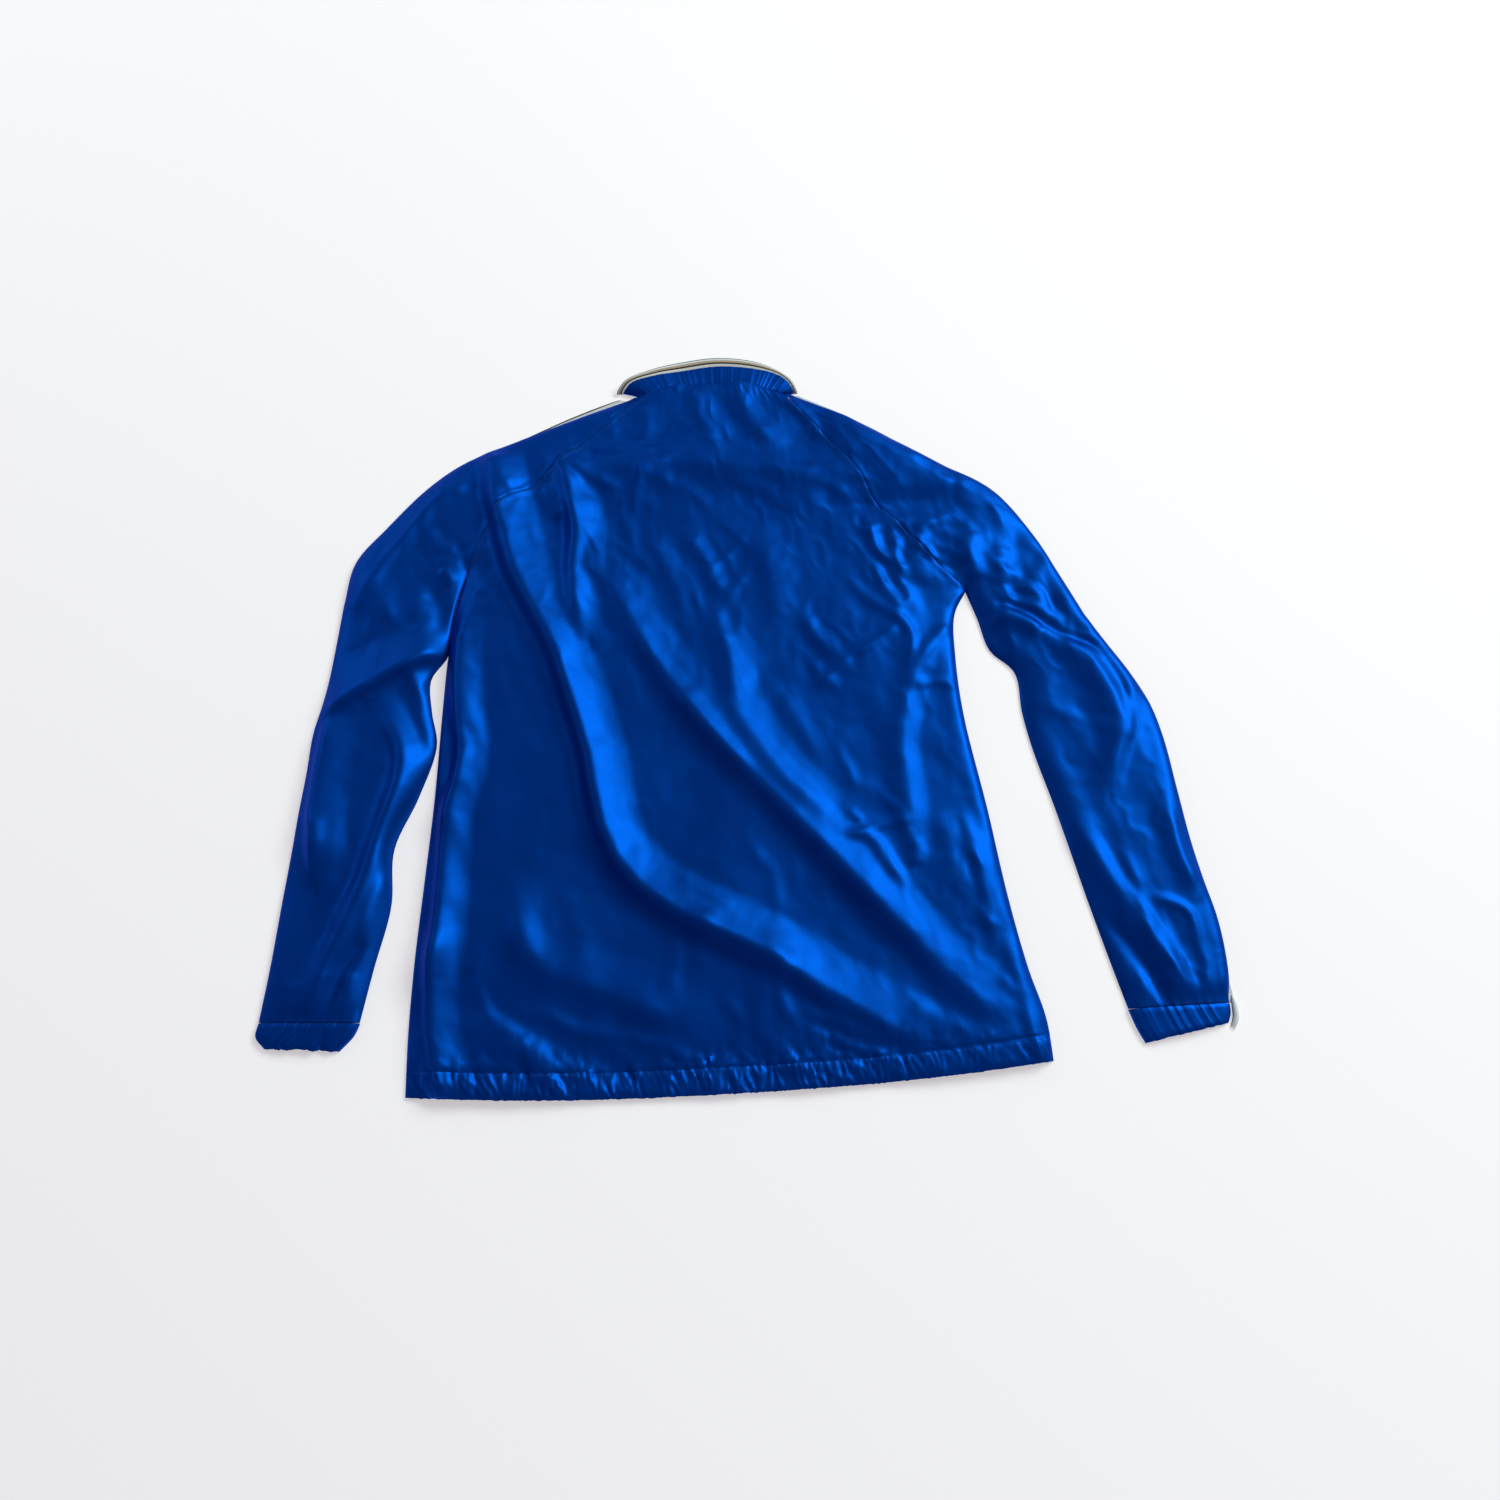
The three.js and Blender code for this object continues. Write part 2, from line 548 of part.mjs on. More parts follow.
// Inner end of the front's row, on the folded edge beside the zip
function frontInner(row, sign) {
  const straight = (row.left.y + row.right.y) / 2 + row.bow;
  const last = backRow(bodySteps + raglanSteps);
  const top = (last.left.y + last.right.y) / 2 + neckBow;
  const y = straight < 300 ? straight : THREE.MathUtils.mapLinear(straight, 300, top, 300, frontNeck);
  return new THREE.Vector3(zipX(y) + sign * zip.clothEdge, y, 0);
}

for (const side of ["left", "right"]) {
  const sign = side === "left" ? -1 : 1;
  const lastRow = bodySteps + raglanSteps;
  const rows = [];
  for (let k = 0; k <= lastRow; k += k < bodySteps ? 2 : 1) {
    const row = backRow(k);
    rows.push({ outer: row[side], inner: frontInner(row, sign) });
  }
  const slopeEnd = zip.tapeOut + zip.slope;
  const lift = (x, y) => {
    const away = Math.abs(x - zipX(y));
    return cloth / 2 + zip.level * (1 - THREE.MathUtils.smoothstep(away, zip.tapeOut + 1, slopeEnd));
  };
  const near = [1, 0.66, 0.33, 0].map((share) => zip.tapeOut + zip.slope * share);
  const grid = rows.map(({ outer, inner }) => {
    const span = outer.distanceTo(inner);
    const stops = [0, 0.5].map((u) => u * Math.max(span - near[0], span * 0.4));
    const closeIn = near.map((d) => span - Math.min(d - zip.clothEdge, (span * 0.6 * d) / near[0]));
    const line = [...stops, ...closeIn, span].map((d) => {
      const shift = d === 0 ? seamGap : 0;
      const point = outer.clone().lerp(inner, (d + shift) / span);
      return point.setZ(lift(point.x, point.y));
    });
    return side === "left" ? line : line.reverse();
  });
  addPiece(`front_${side}`, wall(grid, cloth, { level: true }), "satin");
}

// Collar: a band round the neck and its striped edge, each one wall bent over at both ends
function neckSeamY({ seamX, seamY, level }) {
  if (seamY !== null) return seamY;
  const last = backRow(bodySteps + raglanSteps);
  if (level === null) {
    const u = THREE.MathUtils.mapLinear(seamX, last.left.x, last.right.x, 0, 1);
    return THREE.MathUtils.lerp(last.left.y, last.right.y, u) + neckBow * crown(u) + seamGap;
  }
  const sign = seamX < zip.head[0] ? -1 : 1;
  const outer = sign < 0 ? last.left : last.right;
  const inner = frontInner(last, sign);
  return THREE.MathUtils.mapLinear(seamX, outer.x, inner.x, outer.y, inner.y) + seamGap;
}

function collarWall(inside, outside, spans, steps, relief) {
  const place = {
    seam: (row) => [row.seamX, neckSeamY(row)],
    top: (row) => [row.topX, row.topY],
    rim: (row) => [row.rimX, row.rimY],
  };
  const curveOf = (key) => {
    const points = collarRows.map((row) => {
      const [x, y] = place[key](row);
      return new THREE.Vector3(x, y, row.level ?? upperLevel(x, y));
    });
    return new THREE.CatmullRomCurve3(points, false, "centripetal");
  };
  const [low, high] = [curveOf(inside), curveOf(outside)];
  const grid = spans.map((v) =>
    Array.from({ length: steps + 1 }, (_, k) => {
      const point = low.getPoint(k / steps).lerp(high.getPoint(k / steps), v);
      return point.setZ(Math.max(point.z, cloth / 2));
    }),
  );
  return wall(grid, cloth, { relief });
}
{
  const bandSteps = 128;
  const trimSteps = 64;
  const backFrom = 40; // the steps of the band that lie at the back of the neck, where it is gathered
  const backTo = 92;
  const isGather = (j) => j > backFrom && j < backTo && j % 2 === 1;
  const gather = (i, j) => (isGather(j) ? 0.8 : 0);
  addPiece("collar_band", collarWall("seam", "top", [0.02, 0.4, 0.985], bandSteps, gather), "satin");
  addPiece("collar_trim", collarWall("top", "rim", [0.04, 0.5, 1], trimSteps, () => 0), "knit");
}

// Zip: its own line runs along Y from the foot
const zipGroup = new THREE.Group();
zipGroup.position.copy(zipFoot);
zipGroup.rotation.z = zipLean;
jacket.add(zipGroup);

function addToZip(name, geometry, finish) {
  const mesh = addPiece(name, geometry, finish);
  zipGroup.add(mesh);
  return mesh;
}

function boxBetween(low, high) {
  const size = high.map((value, k) => value - low[k]);
  const centre = high.map((value, k) => (value + low[k]) / 2);
  return new THREE.BoxGeometry(...size).translate(...centre);
}

const tapeEnd = zipLength - 4;
const postEnd = zip.sliderAt + slider.length / 2 - slider.postLength;
for (const [side, sign] of [["left", -1], ["right", 1]]) {
  const near = sign * zip.tapeIn;
  const far = sign * zip.tapeOut;
  const low = [Math.min(near, far), 2, zip.tapeLow];
  const high = [Math.max(near, far), tapeEnd, zip.tapeLow + 1];
  addToZip(`zip_tape_${side}`, boxBetween(low, high), "zipTape");
}
const teethLow = [-zip.toothHalf, 2, zip.toothLow];
const teethHigh = [zip.toothHalf, postEnd - seamGap, zip.toothHigh];
addToZip("zip_teeth", boxBetween(teethLow, teethHigh), "metal");

function solidOf(geometry) {
  const bare = geometry.clone();
  bare.deleteAttribute("normal");
  bare.deleteAttribute("uv");
  const merged = mergeVertices(bare, 1e-4);
  return new wasm.Manifold(
    new wasm.Mesh({
      numProp: 3,
      vertProperties: merged.attributes.position.array,
      triVerts: new Uint32Array(merged.index.array),
    }),
  );
}

function geometryOf(solid) {
  const mesh = solid.getMesh();
  const geometry = new THREE.BufferGeometry();
  geometry.setAttribute("position", new THREE.BufferAttribute(new Float32Array(mesh.vertProperties), 3));
  geometry.setIndex([...mesh.triVerts]);
  return geometry;
}

// Plate with round corners, in the plane of the zip
function plate(width, length, low, thick, corner, window = null) {
  const shape = new THREE.Shape();
  const x = width / 2;
  const y = length / 2;
  shape.moveTo(-x + corner, -y);
  shape.lineTo(x - corner, -y);
  shape.absarc(x - corner, -y + corner, corner, -Math.PI / 2, 0);
  shape.lineTo(x, y - corner);
  shape.absarc(x - corner, y - corner, corner, 0, Math.PI / 2);
  shape.lineTo(-x + corner, y);
  shape.absarc(-x + corner, y - corner, corner, Math.PI / 2, Math.PI);
  shape.lineTo(-x, -y + corner);
  shape.absarc(-x + corner, -y + corner, corner, Math.PI, Math.PI * 1.5);
  if (window) shape.holes.push(window);
  const solid = new THREE.ExtrudeGeometry(shape, { depth: thick, bevelEnabled: false, curveSegments: 4 });
  return solid.translate(0, 0, low);
}

// Slider: two plates and a post, with a bridge under it that holds the pull
{
  const halfLength = slider.length / 2;
  const topPlate = slider.high - slider.plate;
  const bridgeEnd = slider.bridgeLength / 2;
  const sink = 0.2; // the bridge's legs run this far into the plate
  const legOf = (end) => {
    const ends = [end * bridgeEnd, end * (bridgeEnd - slider.bridgeLeg)].sort((a, b) => a - b);
    return boxBetween(
      [-slider.bridgeHalf, ends[0], slider.bridgeLow],
      [slider.bridgeHalf, ends[1], slider.low + sink],
    );
  };
  const parts = [
    plate(slider.width, slider.length, slider.low, slider.plate, slider.corner),
    plate(slider.width - 1, slider.length, topPlate, slider.plate, slider.corner),
    boxBetween(
      [-slider.postHalf, halfLength - slider.postLength, slider.low + 0.5],
      [slider.postHalf, halfLength - 0.4, slider.high - 0.5],
    ),
    boxBetween(
      [-slider.bridgeHalf, -bridgeEnd, slider.bridgeLow],
      [slider.bridgeHalf, bridgeEnd, slider.bridgeLow + slider.crown],
    ),
    ...[-1, 1].map(legOf),
  ];
  const joined = parts.map(solidOf).reduce((whole, next) => whole.add(next));
  addToZip("zip_slider", geometryOf(joined), "metal").position.set(0, zip.sliderAt, 0);
}

// Pull tab: a plate whose end bar turns under the bridge, about X
{
  const axisLevel = (slider.bridgeLow + slider.crown + slider.low) / 2;
  const half = pull.window / 2;
  const top = pull.length / 2 - pull.bar;
  const window = new THREE.Path();
  window.moveTo(-half, top);
  window.lineTo(-half, top - pull.windowLength);
  window.lineTo(half, top - pull.windowLength);
  window.lineTo(half, top);
  window.closePath();
  const geometry = plate(pull.width, pull.length, -pull.thick / 2, pull.thick, 0.4, window);
  geometry.translate(0, -pull.length / 2 + pull.bar / 2, 0);
  const mesh = addToZip("pull_tab", geometry, "metal");
  mesh.position.set(0, zip.sliderAt, axisLevel);
}

jacket.position.set(-middle.x, -middle.y, 0);

export default jacket;
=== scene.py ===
"""A royal blue satin windbreaker, lying on its front with its back up and its hem towards the camera."""

import math

import bpy
import numpy as np
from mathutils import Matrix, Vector


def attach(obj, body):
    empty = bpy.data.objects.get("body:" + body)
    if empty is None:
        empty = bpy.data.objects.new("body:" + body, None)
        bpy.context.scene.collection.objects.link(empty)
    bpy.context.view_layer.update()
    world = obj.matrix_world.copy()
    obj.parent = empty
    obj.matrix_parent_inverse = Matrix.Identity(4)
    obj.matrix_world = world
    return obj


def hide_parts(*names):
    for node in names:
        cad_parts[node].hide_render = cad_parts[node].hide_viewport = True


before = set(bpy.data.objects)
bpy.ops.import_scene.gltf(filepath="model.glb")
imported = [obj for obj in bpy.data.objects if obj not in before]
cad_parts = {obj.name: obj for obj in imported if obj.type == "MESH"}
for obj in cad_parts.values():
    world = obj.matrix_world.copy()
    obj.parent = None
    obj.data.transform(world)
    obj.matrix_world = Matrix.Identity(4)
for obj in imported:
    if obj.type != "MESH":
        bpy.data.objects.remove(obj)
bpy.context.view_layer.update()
bpy.ops.object.select_all(action="DESELECT")

# Sizes are in millimetres in the jacket's own plan, where X runs across and Y from the hem to the collar.
# MIDDLE is the place of the frame's origin in that plan.
MM = 0.001
MIDDLE = np.array([-2.8, 66.6])

# Cloth: the solids' walls and the gaps between them, and the thin shells that stand for the walls
WALL = 1.2
GAP = 0.3
FABRIC = 0.45
KNIT_THICK = 0.9

# White tape under the outer edge of both sleeves, and how far it shows there at the neck and at the cuff
TAPE_THICK = 1.0
TAPE_WIDTH = 22.0
TAPE_SHELL = 0.4
TAPE_MID = 0.25
TAPE_SHOWS = {"left": (14.0, 0.0), "right": (7.0, 6.0)}

# Upper layer: the air below it, how fast it rises from a folded edge, and the seat of that edge
PUFF = 8.4
ROUND_OFF = 13.0
EDGE_ROLL = 0.8
BACK_SEAT = WALL + GAP
TAPE_SEAT = TAPE_THICK + GAP
SHOULDER_SEAT = TAPE_SEAT + WALL + GAP
SWAY = 3.0

# Lower layer: the height of its middle, the share of the folds that it has, and what it passes over
UNDER_MID = 0.3
UNDER_FOLD = 0.2
OVER_TAPE = 0.85
UNDER_BODY = 1.5

# Hem: the depth of its casing, how far it sinks, and the number of body rows up to its seam
HEM_DEPTH = 22.0
HEM_DIP = 2.4
HEM_ROW = 15
STITCH_INSET = 2.2

# Neck and cuffs
NECK_LOW = 2.6
NECK_BOW = 17.0
COLLAR_DIP = 3.2
FRONT_NECK = 381.0
CUFF_HEIGHT = 8.2

# Zip: its lower and upper end, the folded edges of the fronts beside it, and its tapes and teeth
ZIP_FOOT = np.array([-20.0, -311.0])
ZIP_HEAD = np.array([-41.0, 414.0])
ZIP_CLOTH = 6.0
ZIP_LEVEL = 3.0
ZIP_OUT = 14.0
ZIP_TAPE_MID = 4.8
ZIP_TAPE_SHELL = 0.6
ZIP_TEETH_START = 3.0
ZIP_TEETH_END = 711.0
ZIP_PITCH = 1.35

# Camera: the photo's wide lens, 1040 mm from the middle of the jacket's plan and 70 degrees up
LENS = 26.4
SENSOR = 36.0
CAMERA_UP = math.radians(70.0)
CAMERA_AWAY = 1040.0

# Folds are listed where that camera sees their crests on the floor, so a high crest lies a little nearer
CAMERA_FOOT = np.array([0.0, -355.7])
CAMERA_HEIGHT = 977.0

# Folds: a rounded crest, a lit side that slopes evenly down to its end, and a steeper side
CREST_ROUND = 2.5
LIT_POWER = 1.35
STEEP_POWER = 1.8
FOLD_ENDS = 0.12
FOLD_SINK = 0.2

# Body: both side edges from the hem to the armpits, and how far each row dips in its middle
BODY_ROWS = (
    ((-292, -314), (260, -284), -12),
    ((-295, -262), (257, -248), -9),
    ((-296, -200), (245, -205), -5),
    ((-294.5, -130), (232, -140), 0),
    ((-293, -50), (220, -60), 0),
    ((-294, 40), (204, 35), 0),
    ((-294, 92), (200, 95), 0),
    ((-291, 140), (202, 141), 0),
    ((-283, 188), (214.5, 167), 0),
)
# Raglan seams and the outer edges of the shoulders, from the armpit and the elbow up to the neck
RAGLAN = {
    "left": (
        (-283, 188), (-270, 226), (-253, 258), (-220, 285),
        (-194, 316), (-166, 342), (-140, 372), (-118, 395),
    ),
    "right": (
        (214.5, 167), (181, 202), (150, 240), (127, 267),
        (112, 298), (90, 330), (62, 365), (37, 397),
    ),
}
SHOULDER = {
    "left": (
        (-402, 150), (-396, 199), (-369, 239), (-333, 285),
        (-299, 315), (-249, 341), (-189, 369), (-127, 396),
    ),
    "right": (
        (330, 140), (308, 188), (286, 233), (250, 283),
        (200, 314), (152, 344), (100, 375), (45, 401),
    ),
}
# Sleeves beyond the armpit: the inner and the outer edge of each row, armpit to cuff
SLEEVE = {
    "left": (
        ((-283, 188), (-402, 150)),
        ((-292.5, 140), (-404, 105)),
        ((-295.5, 95), (-406, 70)),
        ((-308, 72), (-409, 45)),
        ((-304, 38), (-414, 15)),
        ((-296, 4), (-415, -25)),
        ((-308, -48), (-417, -65)),
        ((-325, -97), (-418, -102)),
        ((-322, -150), (-420, -150)),
        ((-331, -205), (-422, -205)),
        ((-338, -252), (-425, -252)),
    ),
    "right": (
        ((214.5, 167), (330, 140)),
        ((224, 138), (348, 110)),
        ((234, 103), (369, 75)),
        ((256, 80), (383, 45)),
        ((260, 38), (391, 12)),
        ((267, 0), (397, -38)),
        ((281, -52), (403, -88)),
        ((290, -88), (409, -122)),
        ((303, -142), (418, -165)),
        ((318, -200), (420, -211)),
        ((329, -240), (417, -235)),
    ),
}
# Cuffs: the inner and the outer end of each row, from the sleeve to the mouth
CUFF = {
    "left": (
        ((-338, -252.6), (-425, -252.6)),
        ((-342, -263), (-426, -264)),
        ((-353, -276), (-417, -274)),
    ),
    "right": (
        ((329.2, -240.6), (417.2, -235.6)),
        ((335, -257), (417, -243.5)),
        ((341, -269), (414, -252)),
    ),
}

# Collar, from the left side of the zip round the back of the neck to its right side: x and y of the neck
# seam, of the line where the blue band meets the striped edge, and of that edge's rim, and the height of the
# wall. None stands for the neckline or for the height of the back.
COLLAR_ROWS = (
    (-47.5, None, -47.5, 402, -47.5, 411, 3.4),
    (-62, None, -64, 404, -65, 413, 2.0),
    (-84, None, -90, 408, -93, 416, 0.6),
    (-105, None, -120, 411, -126, 415, 0.6),
    (-116, 400.5, -135, 404, -142, 403.5, 2.6),
    (-110, None, -128, 412, -134, 415, None),
    (-95, None, -103, 421.5, -107, 429.5, None),
    (-69, None, -74, 429, -76, 440.5, None),
    (-35, None, -35.5, 435, -35.5, 446, None),
    (0, None, 3, 432, 5, 441, None),
    (20, None, 29.5, 424.5, 32.0, 428.6, None),
    (30, None, 41.5, 413, 44.6, 415.6, None),
    (36, 401.5, 46.5, 404.5, 50.4, 404.5, 2.6),
    (25, None, 37, 411, 42, 414, 0.6),
    (2, None, 8, 408, 10, 415, 0.6),
    (-20, None, -18, 404, -17, 413, 2.0),
    (-34.5, None, -34.5, 402, -34.5, 411, 3.4),
)
COLLAR_STEPS = 32

# Folds and creases: the line of each crest or, where the height is below zero, of each trough; its height;
# the width of its lit side, to the left of the line as listed; and the width of its steeper side. FOLDS are
# the long ones, much as in the solids, and CREASES are laid on top of them.
FOLDS = (
    # Back, the long folds
    (
        (
            (-286, 400), (-268, 300), (-255, 250), (-238, 200), (-188, 100), (-152, 0), (-142, -58),
            (-121, -105), (-84, -141), (-34, -165), (20, -192), (77, -229), (150, -262),
        ),
        11.5, 35, 9,
    ),
    (
        (
            (-152, 203), (-123, 150), (-95, 100), (-60, 50), (-17, 0), (31, -50), (75, -100), (122, -150),
            (166, -200), (206, -236),
        ),
        8.5, 34, 11,
    ),
    (((-203, 345), (-190, 302), (-180, 250), (-178, 200), (-172, 165), (-160, 130)), 10, 31, 9),
    (((-35, 130), (-22, 100), (-13, 50), (16, 0), (40, -30), (78, -62)), 5, 26, 11),
    (((-185, 318), (-60, 318), (60, 312), (150, 304)), 5, 34, 16),
    (((90, 366), (170, 316), (248, 272)), 6, 20, 22),
    (((180, 112), (167, 100), (151, 50), (142, 0), (148, -50), (150, -95)), 4.2, 17, 12),
    (((-212, -150), (-190, -195), (-130, -222), (-60, -246)), 6, 34, 14),
    (((-250, -250), (-180, -285)), 2.4, 24, 14),
    # Sleeves, the long folds
    (((-408, 42), (-350, 80), (-298, 111)), 11, 44, 6),
    (((-352, 48), (-328, 0), (-338, -70), (-352, -130), (-386, -240)), 10, 26, 10),
    (((-398, 150), (-385, 195), (-340, 258), (-300, 300)), 6, 24, 10),
    (((-404, 40), (-407, -50), (-396, -118)), 11, 30, 7),
    (((226, 240), (226, 184)), 6, 20, 11),
    (((256, 222), (256, 178)), 5, 18, 11),
    (((279, 208), (284, 142)), 2.6, 15, 9),
    (((244, 150), (288, 126)), 6, 20, 9),
    (((296, 124), (336, 86), (354, 40), (334, -38)), 5.5, 13, 12),
    (((290, -60), (320, -112), (366, -190), (390, -240)), 5, 15, 11),
    (((384, -44), (388, -90), (402, -134)), 3.2, 11, 9),
)
